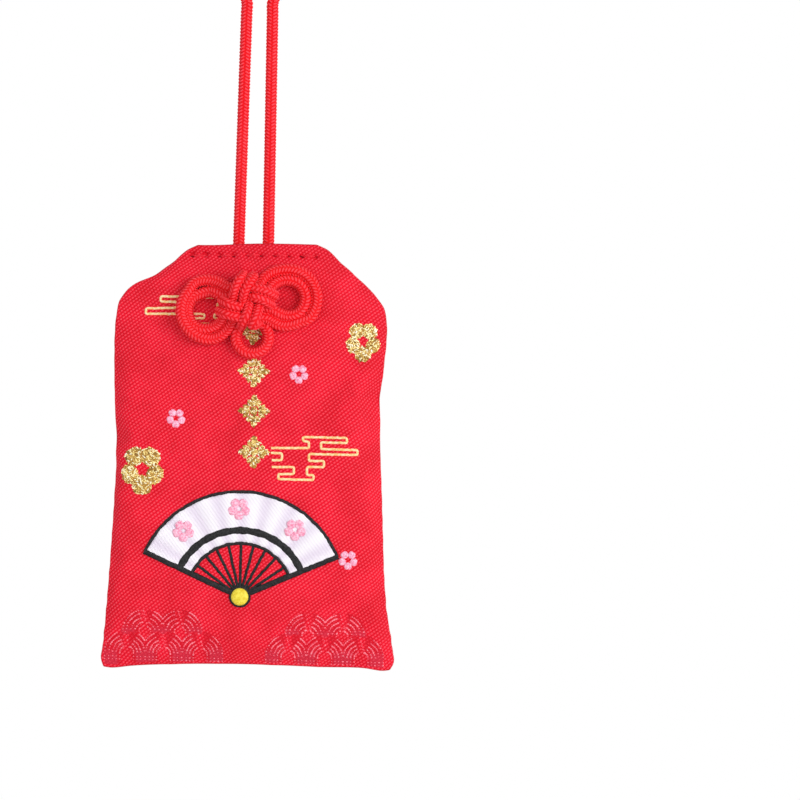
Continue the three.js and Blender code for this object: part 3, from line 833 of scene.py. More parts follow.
def brocadeMaterial():
    # slanting rows of short lighter floats on a red ground
    made, wire, shader = newMaterial("redBrocade", 0.6, Specular_IOR_Level=0.12)
    flat = wire.add("ShaderNodeUVMap", {"uv_map": "weave"})
    parts = wire.add("ShaderNodeSeparateXYZ", None, {"Vector": flat})
    u, v = parts.of("X") * weave["perUv"], parts.of("Y") * weave["perUv"]
    place = objectPlace(wire)
    drift = noise(wire, place, Scale=120.0, Detail=2.0) - 0.5
    patch = noise(wire, place, Scale=190.0, Detail=3.0)
    thread = noise(wire, place, Scale=3200.0, Detail=2.0)
    cos, sin = cosine(weave["slant"]), sine(weave["slant"])
    along = u * cos - v * sin + drift * weave["wander"][0]
    row = (u * sin + v * cos + drift * weave["wander"][1]) / weave["row"]
    line = row.math("FLOOR")
    step = along / weave["pitch"] - line * weave["stagger"]
    inRow, inStep = (row - line - 0.5) * weave["row"], (step.math("FRACT") - 0.5) * weave["pitch"]
    less, more = weave["floatAxis"]
    tall, wide = inStep * less + inRow * more, inStep * more - inRow * less
    spot = 1 - (tall * tall * weave["floatDraw"] + wide * wide).math("SQRT").ramp(*weave["floatEdge"])
    seam = attribute(wire, "seam").ramp(0.25, 1.0)
    onBack = u.math("GREATER_THAN", weave["backShift"] / 2)
    x, z = u - onBack * weave["backShift"], v - onBack * wave["backRise"]
    plain = onBack * (1 - v.ramp(-wave["backStrip"] - 0.15, -wave["backStrip"] + 0.15))
    spot = spot * (1 - seam * 0.85) * (1 - plain)
    lowArcs, lowFeet, above = scallops(wave["lower"], x, z)
    highArcs, highFeet, above = scallops(wave["upper"], x, z)
    shownHigh = above.ramp(-0.4, 0.0) * (1 - lowArcs)
    inWave = lowArcs.math("MAXIMUM", highArcs * shownHigh)
    inFeet = lowFeet.math("MAXIMUM", highFeet * shownHigh)
    shown = spot * (0.45 + patch * 0.9) * (1 - inWave * 0.65)
    ground = patch.ramp(0.3, 0.7).blend(srgb(214, 0, 28), srgb(234, 2, 38))
    ground = (inWave * 0.7).blend(ground, srgb(206, 6, 32))
    ground = (inFeet * 0.7).blend(ground, srgb(206, 44, 68))
    colour = (shown + (thread - 0.5) * 0.22).clamped().blend(ground, srgb(255, 76, 94))
    # painted shade: the cloth is painted darker towards the sewn edge, where the rim turns away from the
    # light
    colour = (seam * 0.4).blend(colour, srgb(176, 0, 24))
    slitShadeAndDent = needleSlits(x, v)
    # painted shadow in the needle dents; the same mask also deepens the bump
    feed(wire, shader, "Base Color", slitShadeAndDent.blend(colour, srgb(120, 0, 16)))
    bumpInto(wire, shader, spot + thread * 0.35 - slitShadeAndDent * 3 - seam * 2, 0.07)
    return made


dressed(pouchCloth.data, brocadeMaterial())
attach(pouchCloth, "pouch")
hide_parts("front_panel", "back_panel")


# Motifs: each is drawn flat, x to the right and z up as seen on its own face, then laid on the cloth
onCloth = {"Object": None, "Side": 1.0, "Lift": 0.0, "Material": None}


def laid(wire, geometry, given):
    here = wire.add("ShaderNodeSeparateXYZ", None, {"Vector": position(wire)})
    side = given["Side"]  # 1 on the front, -1 on the back
    start = combined(wire, X=here * side, Y=side * (-castFrom * mm), Z=here.of("Z"))
    cloth = wire.add("GeometryNodeObjectInfo", {"transform_space": "ORIGINAL"}, {"Object": given["Object"]},
                     out="Geometry")
    hit = wire.add("GeometryNodeRaycast", None, {
        "Target Geometry": cloth, "Source Position": start, "Ray Direction": combined(wire, Y=side),
        "Ray Length": 2 * castFrom * mm}, out="Hit Position")
    up = hit.of("Hit Normal").vector("SCALE", given["Lift"] - here.of("Y"))
    return placed(wire, geometry, Selection=hit.of("Is Hit"), Position=hit.vector("ADD", up))


def randomValue(wire, low, high, seed):
    return wire.add("FunctionNodeRandomValue", {"data_type": "FLOAT"}, {2: low, 3: high, 8: seed}, out=1)


def threadTree():
    # a flattened thread along drawn lines
    tree, wire, given = newTree(
        "laidThread", Width=0.0004, Height=0.0002, Wobble=0.0001, Step=0.00012, **onCloth)
    line = resampled(wire, given["Geometry"], given["Step"])
    grain = noise(wire, position(wire), out="Color", Scale=1700.0, Detail=1.0)
    shake = grain.vector("SUBTRACT", (0.5, 0.5, 0.5))
    reach = combined(wire, X=given["Wobble"] * 2, Z=given["Wobble"] * 2)
    shaken = placed(wire, line, Offset=shake.vector("MULTIPLY", reach))
    tube = swept(wire, shaken, circle(wire, 8, given["Width"] / 2))
    press = combined(wire, X=1.0, Y=given["Height"] / given["Width"], Z=1.0)
    pressed = placed(wire, tube, Position=position(wire).vector("MULTIPLY", press))
    endTree(wire, smoothed(wire, laid(wire, pressed, given)), given["Material"])
    return tree


def floatTree(onLines):
    # short floats of thread, strewn over drawn patches or set in a row along drawn lines
    tree, wire, given = newTree(
        "floatsOnLines" if onLines else "strewnFloats", Spacing=0.0003, Length=0.0006, Width=0.0002,
        Height=0.0001, Turn=1.5, Seed=1, **onCloth)
    if onLines:
        spots = wire.add("GeometryNodeCurveToPoints", {"mode": "LENGTH"},
                         {"Curve": given["Geometry"], "Length": given["Spacing"]}, out="Points")
        tangent = spots.of("Tangent")
        facing = wire.add("FunctionNodeAlignRotationToVector", {"axis": "X"}, {"Vector": tangent})
    else:
        spots = wire.add("GeometryNodeDistributePointsOnFaces", {"distribute_method": "POISSON"},
                         {"Mesh": given["Geometry"], "Distance Min": given["Spacing"], "Density Max": 6.0e7,
                          "Seed": given["Seed"]}, out="Points")
        angle = randomValue(wire, given["Turn"] * -1, given["Turn"], given["Seed"])
        facing = wire.add("FunctionNodeEulerToRotation", None, {0: combined(wire, Y=angle)})
    bead = wire.add("GeometryNodeMeshIcoSphere", None, {"Radius": 0.5, "Subdivisions": 1}, out="Mesh")
    size = randomValue(wire, 0.7, 1.25, given["Seed"] + 7)
    scale = combined(wire, X=given["Length"] * size, Y=given["Height"], Z=given["Width"] * size)
    beads = wire.add("GeometryNodeInstanceOnPoints", None,
                     {"Points": spots, "Instance": bead, "Rotation": facing, "Scale": scale})
    # a random value per float; the gold reads it as a shade that is partly painted glint
    withToneAndGlint = stored(wire, beads, "tint", randomValue(wire, 0.0, 1.0, given["Seed"] + 3), "INSTANCE")
    real = wire.add("GeometryNodeRealizeInstances", None, {"Geometry": withToneAndGlint})
    endTree(wire, laid(wire, real, given), given["Material"])
    return tree


def patchTree():
    tree, wire, given = newTree("laidPatch", **onCloth)
    endTree(wire, smoothed(wire, laid(wire, given["Geometry"], given)), given["Material"])
    return tree


laidThread, laidPatch = threadTree(), patchTree()
floatsOnLines, strewnFloats = floatTree(True), floatTree(False)


def goldMaterial():
    # metal-wrapped thread: each float gets a random shade from dark olive to near white, partly the thread's
    # own uneven tone and partly painted glints
    made, wire, shader = newMaterial("goldThread", 0.34, Metallic=0.25)
    tint = attribute(wire, "tint")
    stops = [(0.0, srgb(128, 94, 30)), (0.2, srgb(194, 156, 70)), (0.38, srgb(238, 206, 120)),
             (0.55, srgb(248, 228, 152)), (0.8, srgb(255, 246, 196)), (1.0, srgb(255, 252, 228))]
    feed(wire, shader, "Base Color", wire.add("ShaderNodeValToRGB", {"stops": stops}, {"Fac": tint}))
    feed(wire, shader, "Roughness", 0.5 - tint * 0.22)
    return made


def threadMaterial(name, low, high, roughness, scale):
    grain = {"Scale": scale, "Detail": 3.0}
    return grainMaterial(name, srgb(*low), srgb(*high), roughness, grain, Specular_IOR_Level=0.3)


goldThread = goldMaterial()
goldGround = threadMaterial("goldGround", (150, 96, 30), (206, 160, 74), 0.5, 3000.0)
cloudThread = threadMaterial("cloudThread", (244, 192, 112), (255, 234, 188), 0.5, 2600.0)
pinkThread = threadMaterial("pinkThread", (238, 130, 166), (255, 208, 228), 0.5, 3200.0)
waveThread = threadMaterial("waveThread", (236, 78, 100), (255, 136, 152), 0.7, 900.0)
blackThread = threadMaterial("blackThread", (10, 10, 12), (44, 44, 46), 0.7, 3000.0)
yellowThread = threadMaterial("yellowThread", (226, 200, 40), (248, 232, 84), 0.5, 2600.0)
stitchThread = threadMaterial("stitchThread", (214, 10, 34), (240, 44, 64), 0.7, 2600.0)


def onFace(side, x, depth, rise=0.0):
    # a drawn place, as a point of the frame before it is laid on the cloth
    return (x + side * pouchAt[0], -rise, pouchAt[2] - depth)


def drawnCurves(name, lines, side):
    return curveObject(name, [[onFace(side, x, depth) for x, depth in line] for line in lines])


def rounded(line, radius):
    # corners of a drawn line become short arcs
    p = [np.array(q, float) for q in line]
    out = [p[0]]
    for a, b, c in zip(p, p[1:], p[2:]):
        back, on = a - b, c - b
        backLength, onLength = np.linalg.norm(back), np.linalg.norm(on)
        reach = min(radius, backLength * 0.48, onLength * 0.48)
        start, end = b + back / backLength * reach, b + on / onLength * reach
        out += [start * (1 - t) ** 2 + b * 2 * t * (1 - t) + end * t * t for t in (0, 0.25, 0.5, 0.75, 1)]
    return [tuple(q) for q in out + [p[-1]]]


class Patches:
    # low domes drawn flat, gathered in one mesh
    skirt = -0.12  # the rim goes this deep into the cloth

    def __init__(self, side):
        self.side, self.points, self.polygons = side, [], []

    def dome(self, x, depth, along, across, turn, height, sides=18, rings=4, notch=0.0):
        # an oval dome; turn is from +x towards up, notch draws its outer end in
        first = len(self.points)
        cos, sin = math.cos(turn), math.sin(turn)

        def put(share, angle, rise):
            reach = share * (1 - notch * math.exp(-(math.remainder(angle, math.tau) / 0.45) ** 2))
            u, v = along * reach * math.cos(angle), across * reach * math.sin(angle)
            self.points.append(onFace(self.side, x + u * cos - v * sin, depth - u * sin - v * cos, rise))

        put(0, 0, height)
        for ring in range(1, rings + 1):
            for i in range(sides):
                put(ring / rings, i * math.tau / sides, height * (1 - (ring / rings) ** 3) + 0.02)
        for i in range(sides):
            put(1, i * math.tau / sides, self.skirt)

        def at(ring, i):
            return first + 1 + (ring - 1) * sides + i % sides

        for i in range(sides):
            self.polygons.append((first, at(1, i), at(1, i + 1)))
            for ring in range(1, rings + 1):
                self.polygons.append((at(ring, i), at(ring + 1, i), at(ring + 1, i + 1), at(ring, i + 1)))
        self.polygons.append(tuple(at(rings + 1, i) for i in reversed(range(sides))))

    def blossom(self, x, depth, width, high, form):
        # five petals, one of them down
        out = 0.5 - form["petal"] / 2
        for k in range(5):
            angle = -math.pi / 2 + k * math.tau / 5
            right, up = width * math.cos(angle), high * math.sin(angle)
            along, across = math.hypot(right, up) * form["petal"] / 2, (width + high) / 2 * form["broad"]
            self.dome(x + right * out, depth - up * out, along, across, math.atan2(up, right), form["rise"],
                      notch=form["notch"])

    def flowerDiamond(self, x, depth, width, high, rise):
        # four petals of three lobes in a rhombus, with a bud in the middle
        self.dome(x, depth, 0.1 * width, 0.1 * high, 0, rise)
        lobes = ((0.27, 0, 0.15, 0.075, 0), (0.2, 0.09, 0.1, 0.06, 0.75), (0.2, -0.09, 0.1, 0.06, -0.75))
        for k in range(4):
            angle = k * math.pi / 2
            cos, sin = math.cos(angle), math.sin(angle)
            size = width if k % 2 == 0 else high
            for u, v, along, across, bend in lobes:
                self.dome(x + size * (u * cos - v * sin), depth - size * (u * sin + v * cos), size * along,
                          size * across, angle + bend, rise, sides=12, rings=3)

    def laidAs(self, name, material, lift=0.0):
        return grown(name, self.object(), laidPatch, faceValues(self.side, material, Lift=lift))

    def object(self):
        return meshObject("patches", self.points, self.polygons)


def faceValues(side, material, **sizes):
    # sizes in mm
    values = {label: size * mm for label, size in sizes.items()}
    return {"Object": pouchCloth, "Side": float(side), "Material": material, **values}


# Places are x and depth on the front, key 1, and on the back, key -1
motif = {
    "goldBlossoms": {1: [(-18.1, 39.2, 7.4, 8.9), (19.13, 16.3, 5.9, 7.1)],
                     -1: [(-17.76, 39.32, 7.2, 8.6), (19.54, 14.65, 5.9, 7.0)]},  # with width and height
    "goldForm": {"petal": 0.38, "broad": 0.205, "notch": 0.1, "rise": 0.2},  # shares; rise in mm
    "goldFloat": {"Lift": 0.03, "Spacing": 0.27, "Length": 0.56, "Width": 0.27, "Height": 0.2},
    "goldTurn": 1.4,
    "goldSeed": 11,
    "flowerDiamonds": {1: [(0.21, 14.65), (0.57, 21.85), (0.75, 28.7), (0.93, 35.73)],
                       -1: [(0.8, 11.89), (0.76, 19.44), (0.71, 26.65), (0.67, 33.85)]},
    "diamondSize": (6.4, 6.6, 0.16),  # width, height, rise
    "pinkBlossoms": {1: [(8.29, 22.16), (-12.6, 30.25), (17.53, 53.83)],
                     -1: [(8.51, 21.02), (-12.27, 29.62), (17.66, 53.97)]},
    "pinkSize": (3.5, 3.57),
    "pinkForm": {"petal": 0.385, "broad": 0.185, "notch": 0.25, "rise": 0.16},
    "upperCloud": [
        (-0.3, 7.2), (-6.6, 7.25), (-6.6, 8.05), (-5.55, 8.05), (-5.55, 8.85), (-15.8, 8.9), (-15.8, 9.8),
        (-10.2, 9.8), (-10.2, 10.65), (-18.3, 11.05), (-18.3, 11.95), (-8.2, 11.75), (-8.2, 12.5),
        (-12.1, 12.65), (-12.1, 13.5), (-5.2, 13.4), (-5.2, 12.45), (-6.5, 12.45), (-6.4, 11.65),
        (-3.3, 11.4), (-3.2, 10.5), (-6.0, 10.45), (-6.0, 9.85), (3.6, 9.5), (3.65, 8.9), (-3.8, 8.75),
        (-3.75, 8.15), (1.8, 8.15)],
    "lowerCloud": [
        (3.83, 34.97), (10.34, 34.8), (10.3, 33.72), (9.28, 33.63), (9.26, 32.94), (16.81, 32.91),
        (16.83, 33.77), (12.37, 33.8), (12.4, 34.92), (18.67, 34.93), (18.69, 35.78), (10.37, 35.83),
        (10.4, 37.03), (12.97, 36.96), (13.0, 37.99), (10.08, 38.07), (10.12, 39.44), (11.23, 39.41),
        (11.26, 40.27), (5.25, 40.25), (5.23, 39.39), (7.89, 39.32), (7.85, 38.12), (4.08, 38.22)],
    "cloudTail": [(3.85, 35.83), (5.73, 35.78), (5.77, 36.98), (4.05, 37.02)],
    "cloudShift": {1: {"upperCloud": (0.0, 0.55), "lowerCloud": (0.0, 0.0), "cloudTail": (0.0, 0.0)},
                   -1: {"upperCloud": (0.0, 0.0), "lowerCloud": (-0.4, -0.95), "cloudTail": (-0.4, -0.95)}},
    "cloudCorner": 0.3,
    "cloudLine": {"Width": 0.44, "Height": 0.3, "Wobble": 0.09},
    "waveDash": {"Spacing": 0.38, "Length": 0.46, "Width": 0.27, "Height": 0.1},
    "waveDot": {"Spacing": 1.0, "Length": 0.28, "Width": 0.24, "Height": 0.1},
    "waveSeed": 5,
}


def onBothFaces(name, make):
    # what make lays on the front and on the back becomes one piece
    pieces = [piece for side in bothSides for piece in make(side)]
    together = bmesh.new()
    for piece in pieces:
        together.from_mesh(piece.data)
    kept = pieces[0]
    material = kept.data.materials[0]
    for piece in pieces[1:]:
        bpy.data.objects.remove(piece)
    together.to_mesh(kept.data)
    together.free()
    kept.name = kept.data.name = name
    dressed(kept.data, material)
    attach(kept, "pouch")


def goldPatches(side):
    patches = Patches(side)
    for place in motif["goldBlossoms"][side]:
        patches.blossom(*place, motif["goldForm"])
    for place in motif["flowerDiamonds"][side]:
        patches.flowerDiamond(*place, *motif["diamondSize"])
    return patches


def goldFloats(side):
    values = faceValues(side, goldThread, **motif["goldFloat"])
    values.update(Turn=motif["goldTurn"], Seed=motif["goldSeed"] + side)
    return [grown("goldFloats", goldPatches(side).object(), strewnFloats, values)]


def goldGrounds(side):
    return [goldPatches(side).laidAs("goldGround", goldGround)]


def pinkBlossoms(side):
    patches = Patches(side)
    for place in motif["pinkBlossoms"][side]:
        patches.blossom(*place, *motif["pinkSize"], motif["pinkForm"])
    return [patches.laidAs("pinkBlossoms", pinkThread)]


def cloudLines(side):
    lines = []
    for name, (right, down) in motif["cloudShift"][side].items():
        lines.append(rounded([(x + right, depth + down) for x, depth in motif[name]], motif["cloudCorner"]))
    values = faceValues(side, cloudThread, **motif["cloudLine"])
    return [grown("cloudLines", drawnCurves("cloudDrawn", lines, side), laidThread, values)]


def waveArc(row, x, depth, radius, room):
    # an arc shows as a line on its flanks, and as single floats at its top and towards its feet
    start, end = row["flank"][0] + row["open"] * (radius - 1), row["flank"][1]
    lines, spots = [], [(x + wave["tops"] * (2.7 - radius), depth - radius + 0.2)]
    for flank in (-1, 1):

        def places(angles):
            for t in angles:
                out = radius * math.cos(t) + 0.04 * math.sin(9 * t + 3 * radius)
                if abs(out) < room[flank]:
                    yield x + flank * out, depth - radius * math.sin(t)

        lines.append(list(places(np.linspace(start, end - 0.12 * (flank + 1) / 2, 12))))
        spots += places(np.arange(start - 0.5 / radius, 0.0, -0.55 / radius))
        if radius < room[flank]:
            spots += [(x + flank * radius, depth + foot) for foot in row["feet"]]
    return lines, spots


def waveDashes(side):
    low, rise = wave["lower"], 0.0 if side == 1 else wave["backRise"]
    lowCentres = [first + k * pitch for first, pitch, count in low["runs"] for k in range(count)]

    def clear(place):
        # not hidden by the lower row
        away = min(math.hypot(place[0] - x, place[1] - low["depth"] + rise) for x in lowCentres)
        return away > low["radii"][-1] + 0.15

    lines, dots = [], []
    for row in (low, wave["upper"]):
        for first, pitch, count in row["runs"]:
            for k in range(count):
                # a neighbour cuts the arcs off
                room = {-1: pitch / 2 if k > 0 else math.inf, 1: pitch / 2 if k < count - 1 else math.inf}
                for radius in row["radii"]:
                    flanks, spots = waveArc(row, first + k * pitch, row["depth"] - rise, radius, room)
                    lines += [[p for p in line if row is low or clear(p)] for line in flanks]
                    dots += [[p, (p[0] + 0.05, p[1])] for p in spots if row is low or clear(p)]
    made = []
    for drawn, sizes in ((lines, motif["waveDash"]), (dots, motif["waveDot"])):
        source = drawnCurves("waveDrawn", [line for line in drawn if len(line) > 1], side)
        values = dict(faceValues(side, waveThread, **sizes), Seed=motif["waveSeed"])
        made.append(grown("waveDashes", source, floatsOnLines, values))
    return made


onBothFaces("goldFloats", goldFloats)
onBothFaces("goldGround", goldGrounds)
onBothFaces("pinkBlossoms", pinkBlossoms)
onBothFaces("cloudLines", cloudLines)
onBothFaces("waveDashes", waveDashes)

# Open fan: a pleated white leaf, black ribs and guards, and a yellow pivot
fan = {
    "pivot": {1: (-0.85, 60.6), -1: (-0.15, 60.4)},
    "reach": 17.9,
    "leafStart": 9.2,
    "halfAngle": 66.0,
    "pleats": 18,
    "pleatSteps": 6,
    "leafSteps": 12,
    "leafRise": 0.1,
    "ridge": 0.14,  # how much higher a fold's ridge is
    "scallop": 0.25,  # how much further it reaches
    "ribs": (1.2, 11, 9),  # start, angle free beside the guards, number
    "rib": {"Width": 0.5, "Height": 0.3},
    "edge": {"Width": 0.62, "Height": 0.62},
    "guard": {"Width": 1.05, "Height": 0.7},
    "guardRun": (0.6, 18.2),
    "band": {"Width": 1.5, "Height": 0.72},
    "bandReach": 11.4,
    "ring": {"Width": 0.55, "Height": 0.7},
    "ringRadius": 1.6,
    "wobble": 0.12,
    "blossoms": ((-42, 14.9), (-2, 15.1), (38, 14.9)),  # angle and reach
    "blossomSize": (4.0, 4.0),
    "blossomForm": {"petal": 0.42, "broad": 0.193, "notch": 0.2, "rise": 0.14},
    "blossomLift": 0.24,
    "budRadius": 1.5,
    "budRise": 0.4,
    "budLift": 0.3,
}


def fanPoint(side, angle, reach):
    x, depth = fan["pivot"][side]
    return x + reach * sine(angle), depth - reach * cosine(angle)


def fanLeaf(side):
    # pleated sheet: ridge and valley in turn, with a skirt into the cloth
    across, steps = fan["pleats"] * fan["pleatSteps"], fan["leafSteps"]
    points, polygons, folds = [], [], []
    for i in range(across + 1):
        angle = -fan["halfAngle"] + 2 * fan["halfAngle"] * i / across
        fold = abs((i / fan["pleatSteps"]) % 2 - 1)
        for j in range(steps + 3):
            share = past(j, 1, steps)
            reach = fan["leafStart"] + (fan["reach"] + fan["scallop"] * fold - fan["leafStart"]) * share
            border = j in (0, steps + 2) or i in (0, across)
            rise = Patches.skirt if border else fan["leafRise"] + fan["ridge"] * fold
            points.append(onFace(side, *fanPoint(side, angle, reach), rise))
            folds.append(fold)
    row = steps + 3
    for i in range(across):
        for a in range(i * row, i * row + steps + 2):
            polygons.append((a, a + row, a + row + 1, a + 1))
    leaf = meshObject("fanLeaf", points, polygons)
    leaf.data.attributes.new("fold", "FLOAT", "POINT").data.foreach_set("value", folds)
    return [grown("fanLeaf", leaf, laidPatch, faceValues(side, whiteSatin))]


def leafMaterial():
    made, wire, shader = newMaterial("whiteSatin", 0.55, Sheen_Weight=0.1)
    place = objectPlace(wire)
    parts = wire.add("ShaderNodeSeparateXYZ", None, {"Vector": place})
    drift = noise(wire, place, Scale=500.0, Detail=2.0)
    slanting = (parts.of("X") * 0.8 + parts.of("Z") * 0.6) * 12500  # floats half a millimetre apart
    twill = ((slanting + drift * 2).math("SINE") + 1) / 2
    # painted shade: pleat valleys are painted darker and more lavender than the ridges; the twill lines are
    # the satin's own weave
    foldShadeAndTwill = attribute(wire, "fold").ramp(0.0, 0.9) * 0.7 + twill * 0.3
    feed(wire, shader, "Base Color", foldShadeAndTwill.blend(srgb(226, 214, 232), srgb(248, 244, 250)))
    bumpInto(wire, shader, twill, 0.03)
    return made


def fanLines(side):
    half, (x, depth) = fan["halfAngle"], fan["pivot"][side]
    ribStart, ribFree, ribs = fan["ribs"]

    def spoke(angle, start, end, count):
        return [fanPoint(side, angle, r) for r in np.linspace(start, end, count)]

    def arc(reach, wide):
        return [fanPoint(side, angle, reach) for angle in np.linspace(-wide, wide, 60)]

    ribAngles = np.linspace(-half + ribFree, half - ribFree, ribs)
    ring = [(x + fan["ringRadius"] * math.cos(t), depth + fan["ringRadius"] * math.sin(t))
            for t in np.linspace(0, math.tau, 40)]
    drawn = {
        "rib": [spoke(angle, ribStart, fan["leafStart"], 12) for angle in ribAngles],
        "edge": [arc(fan["reach"] + 0.1, half), arc(fan["leafStart"], half)],
        "guard": [spoke(angle, *fan["guardRun"], 20) for angle in (-half, half)],
        "band": [arc(fan["bandReach"], half - 0.5)],
        "ring": [ring],
    }
    made = []
    for name, lines in drawn.items():
        values = faceValues(side, blackThread, **fan[name], Wobble=fan["wobble"])
        made.append(grown("fanLines", drawnCurves("fanDrawn", lines, side), laidThread, values))
    return made


def fanBlossoms(side):
    patches = Patches(side)
    for place in fan["blossoms"]:
        patches.blossom(*fanPoint(side, *place), *fan["blossomSize"], fan["blossomForm"])
    return [patches.laidAs("fanBlossoms", pinkThread, fan["blossomLift"])]


def fanPivot(side):
    bud = Patches(side)
    bud.dome(*fan["pivot"][side], fan["budRadius"], fan["budRadius"], 0, fan["budRise"], sides=24, rings=5)
    return [bud.laidAs("fanPivot", yellowThread, fan["budLift"])]


whiteSatin = leafMaterial()
onBothFaces("fanLeaf", fanLeaf)
onBothFaces("fanLines", fanLines)
onBothFaces("fanBlossoms", fanBlossoms)
onBothFaces("fanPivot", fanPivot)
print("motifs laid on both faces")

# Running stitch under the mouth, in and out of the needle holes
stitch = {
    "tail": 0.9,
    "shoulder": (0.25, 0.75),  # beside a hole, and its share of the way out to the cloth
    "followMouth": 0.75,
    "braid": {"Diameter": 0.34, "Pitch": 0.4, "Relief": 0.08, "Step": 0.06},
    "pathStep": 0.05,
}


def clothCast():
    # returns a function that finds the cloth's y, mm, at x and z, looking in from the face
    surface = BVHTree.FromObject(pouchCloth, bpy.context.evaluated_depsgraph_get())

    def cast(x, z, face):
        start = Vector((x, -face * castFrom, z)) * mm
        return surface.ray_cast(start, Vector((0, face, 0)))[0].y / mm

    return cast


def mouthStitch():
    cast, holes, length = clothCast(), pouch["stitchHoles"], pouch["stitchLength"]
    first = -(holes - 1) / 2 * length
    beside, share = stitch["shoulder"]
    points = [(first - stitch["tail"], 0.0)]
    for i in range(holes):
        x, face = first + i * length, 1 if i % 2 == 0 else -1
        points.append((x, 0.0))
        if i < holes - 1:
            low = share * face
            points += [(x + beside, low), (x + length / 2, face), (x + length - beside, low)]
    points.append((-first + stitch["tail"], 0.0))
    path = []
    for x, share in points:
        mouth = float(np.interp(x, *drawnLine("mouth")))
        z = pouchAt[2] - pouch["stitchDepth"] - mouth * stitch["followMouth"]
        out = cast(x + pouchAt[0], z, 1 if share >= 0 else -1) - pouchAt[1]
        path.append((x + pouchAt[0], pouchAt[1] + out * abs(share), z))
    sizes = {label: size * mm for label, size in stitch["braid"].items()}
    sizes.update(Columns=2.0, Slant=0.8, Sides=12, Material=stitchThread)
    source = curveObject("stitchPath", [splinePoints(path, stitch["pathStep"])])
    made = grown("mouthStitch", source, braid, sizes)
    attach(made, "pouch")
    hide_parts("mouth_stitch")


mouthStitch()

# Wadding: two crowned pads inside the cloth, one to each side of the paper sleeve
pad = {
    "width": 35.0,
    "top": 17.0,
    "bottom": 66.4,
    "columns": 24,
    "rows": 32,
    "rounding": (0.14, 0.1),  # corners drawn in across and down
    "share": 0.78,  # of the way from the middle to the cloth
    "clearance": 0.25,
    "least": 0.2,
}


def waddingPad(name, node, face, material):
    cast = clothCast()
    low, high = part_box(node)
    inner = (low[1] if face < 0 else high[1]) / mm - pouchAt[1]
    middle, half = pouchAt[2] - (pad["top"] + pad["bottom"]) / 2, (pad["bottom"] - pad["top"]) / 2
    across, down = np.linspace(-1, 1, pad["columns"] + 1), np.linspace(-1, 1, pad["rows"] + 1)
    points, polygons = [], []
    for layer in (1, 0):
        for v in down:
            for u in across:
                # a square drawn into a rounded one
                corner = u ** 6 * v ** 6
                x = pouchAt[0] + u * pad["width"] / 2 * (1 - pad["rounding"][0] * corner)
                z = middle + v * half * (1 - pad["rounding"][1] * corner)
                room = abs(cast(x, z, face) - pouchAt[1]) * pad["share"] - abs(inner) - pad["clearance"]
                dome = (max(0, 1 - u ** 6) * max(0, 1 - v ** 6)) ** 0.5
                points.append((x, pouchAt[1] + inner - face * max(room, pad["least"]) * dome * layer, z))
    wide, count = pad["columns"] + 1, len(points) // 2
    for r in range(pad["rows"]):
        for a in range(r * wide, r * wide + pad["columns"]):
            polygons.append((a, a + wide, a + wide + 1, a + 1))
            polygons.append((count + a, count + a + 1, count + a + wide + 1, count + a + wide))
    made = meshObject(name, points, polygons)
    body = bmesh.new()
    body.from_mesh(made.data)
    bmesh.ops.remove_doubles(body, verts=body.verts, dist=1e-6)
    bmesh.ops.recalc_face_normals(body, faces=body.faces)
    body.to_mesh(made.data)
    body.free()
    dressed(made.data, material)
    made.data.shade_smooth()
    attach(made, "pouch")
    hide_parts(node)


wadding = grainMaterial("wadding", srgb(226, 222, 212), srgb(250, 249, 244), 0.95,
                        {"Scale": 700.0, "Detail": 6.0, "Roughness": 0.7}, (0.25, 0.75), 0.4,
                        Sheen_Weight=0.4)
sleevePaper = grainMaterial("sleevePaper", srgb(236, 230, 214), srgb(252, 250, 242), 0.85,
                            {"Scale": 1500.0, "Detail": 5.0, "Distortion": 1.5}, relief=0.03)
slipWood = grainMaterial("slipWood", srgb(226, 194, 142), srgb(196, 156, 100), 0.6,
                         {"Scale": 1.0, "Detail": 4.0}, (0.35, 0.7), stretch=(900.0, 900.0, 40.0))
waddingPad("frontWadding", "front_pad", 1, wadding)
waddingPad("backWadding", "back_pad", -1, wadding)
for node, material in (("paper_sleeve", sleevePaper), ("talisman_slip", slipWood),
                       ("left_seam_thread", stitchThread), ("right_seam_thread", stitchThread)):
    dressed(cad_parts[node].data, material)
print("filling made")

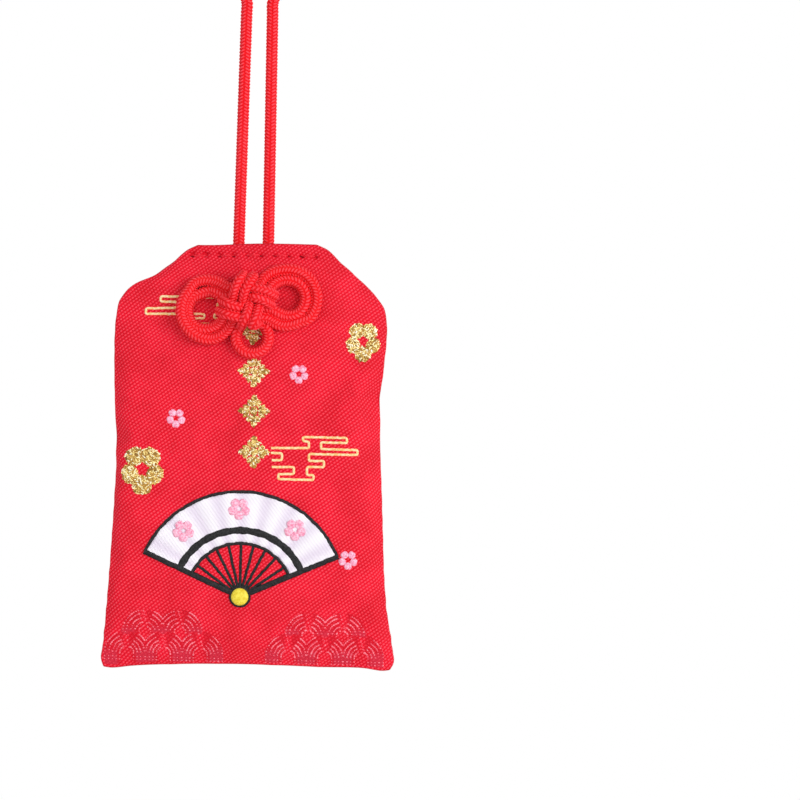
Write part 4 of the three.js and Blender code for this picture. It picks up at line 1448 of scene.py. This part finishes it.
# Light: a large soft lamp on the right, weaker ones on the left and behind, and a white room; in m
light = {
    "key": {"at": (0.8, -0.85, 0.12), "size": 0.7, "power": 7.8},
    "fill": {"at": (-0.6, -0.9, 0.5), "size": 0.9, "power": 2.0},
    "back": {"at": (0.3, 1.1, 0.3), "size": 0.9, "power": 5.0},
    "aim": (0.0, -0.003, -0.08),
    "room": 0.58,
    "floorDrop": 0.165,
    "floorHalf": 3.0,
    "floorGlow": (0.8, 0.18, 0.32),  # near the object, and where its rise to white starts and ends
}


def seenRay(wire):
    ray = wire.add("ShaderNodeLightPath")
    return ray.math("MAXIMUM", ray.of("Is Glossy Ray")).math("MAXIMUM", ray.of("Is Transmission Ray"))


def makeLight():
    for name in ("key", "fill", "back"):
        data = bpy.data.lights.new(name, "AREA")
        data.size, data.energy = light[name]["size"], light[name]["power"]
        lamp = linked(name, data)
        lamp.location = light[name]["at"]
        lamp.rotation_euler = (Vector(light["aim"]) - lamp.location).to_track_quat("-Z", "Y").to_euler()
    scene.world = bpy.data.worlds.new("room")
    scene.world.use_nodes = True
    wire = Wire(scene.world.node_tree)
    white = scene.world.node_tree.nodes["Background"]
    white.inputs["Color"].default_value = (1, 1, 1, 1)
    feed(wire, white, "Strength", light["room"] + seenRay(wire) * (1 - light["room"]))


def makeFloor():
    # round the object the floor takes its shadow, further out it is as white as the room
    half, drop = light["floorHalf"] / mm, light["floorDrop"] / mm
    corners = [(x * half, y * half, -drop) for x, y in ((-1, -1), (1, -1), (1, 1), (-1, 1))]
    floor = meshObject("floor", corners, [(0, 1, 2, 3)])
    made, wire, shader = newMaterial("paleFloor", 0.9, Base_Color=(0.9, 0.9, 0.9, 1))
    near, start, end = light["floorGlow"]
    away = wire.add("ShaderNodeVectorMath", {"operation": "LENGTH"}, {0: objectPlace(wire)}, out="Value")
    glow = wire.add("ShaderNodeEmission", None, {"Color": (1, 1, 1, 1), "Strength": 1.0})
    share = seenRay(wire) * (near + away.ramp(start, end) * (1 - near))
    mix = wire.add("ShaderNodeMixShader", None, {0: share, 1: Wire(wire.tree, shader.outputs[0]), 2: glow})
    feed(wire, made.node_tree.nodes["Material Output"], "Surface", mix)
    dressed(floor.data, made)


makeLight()
makeFloor()
scene.view_settings.view_transform = "Standard"
print("light and floor set")
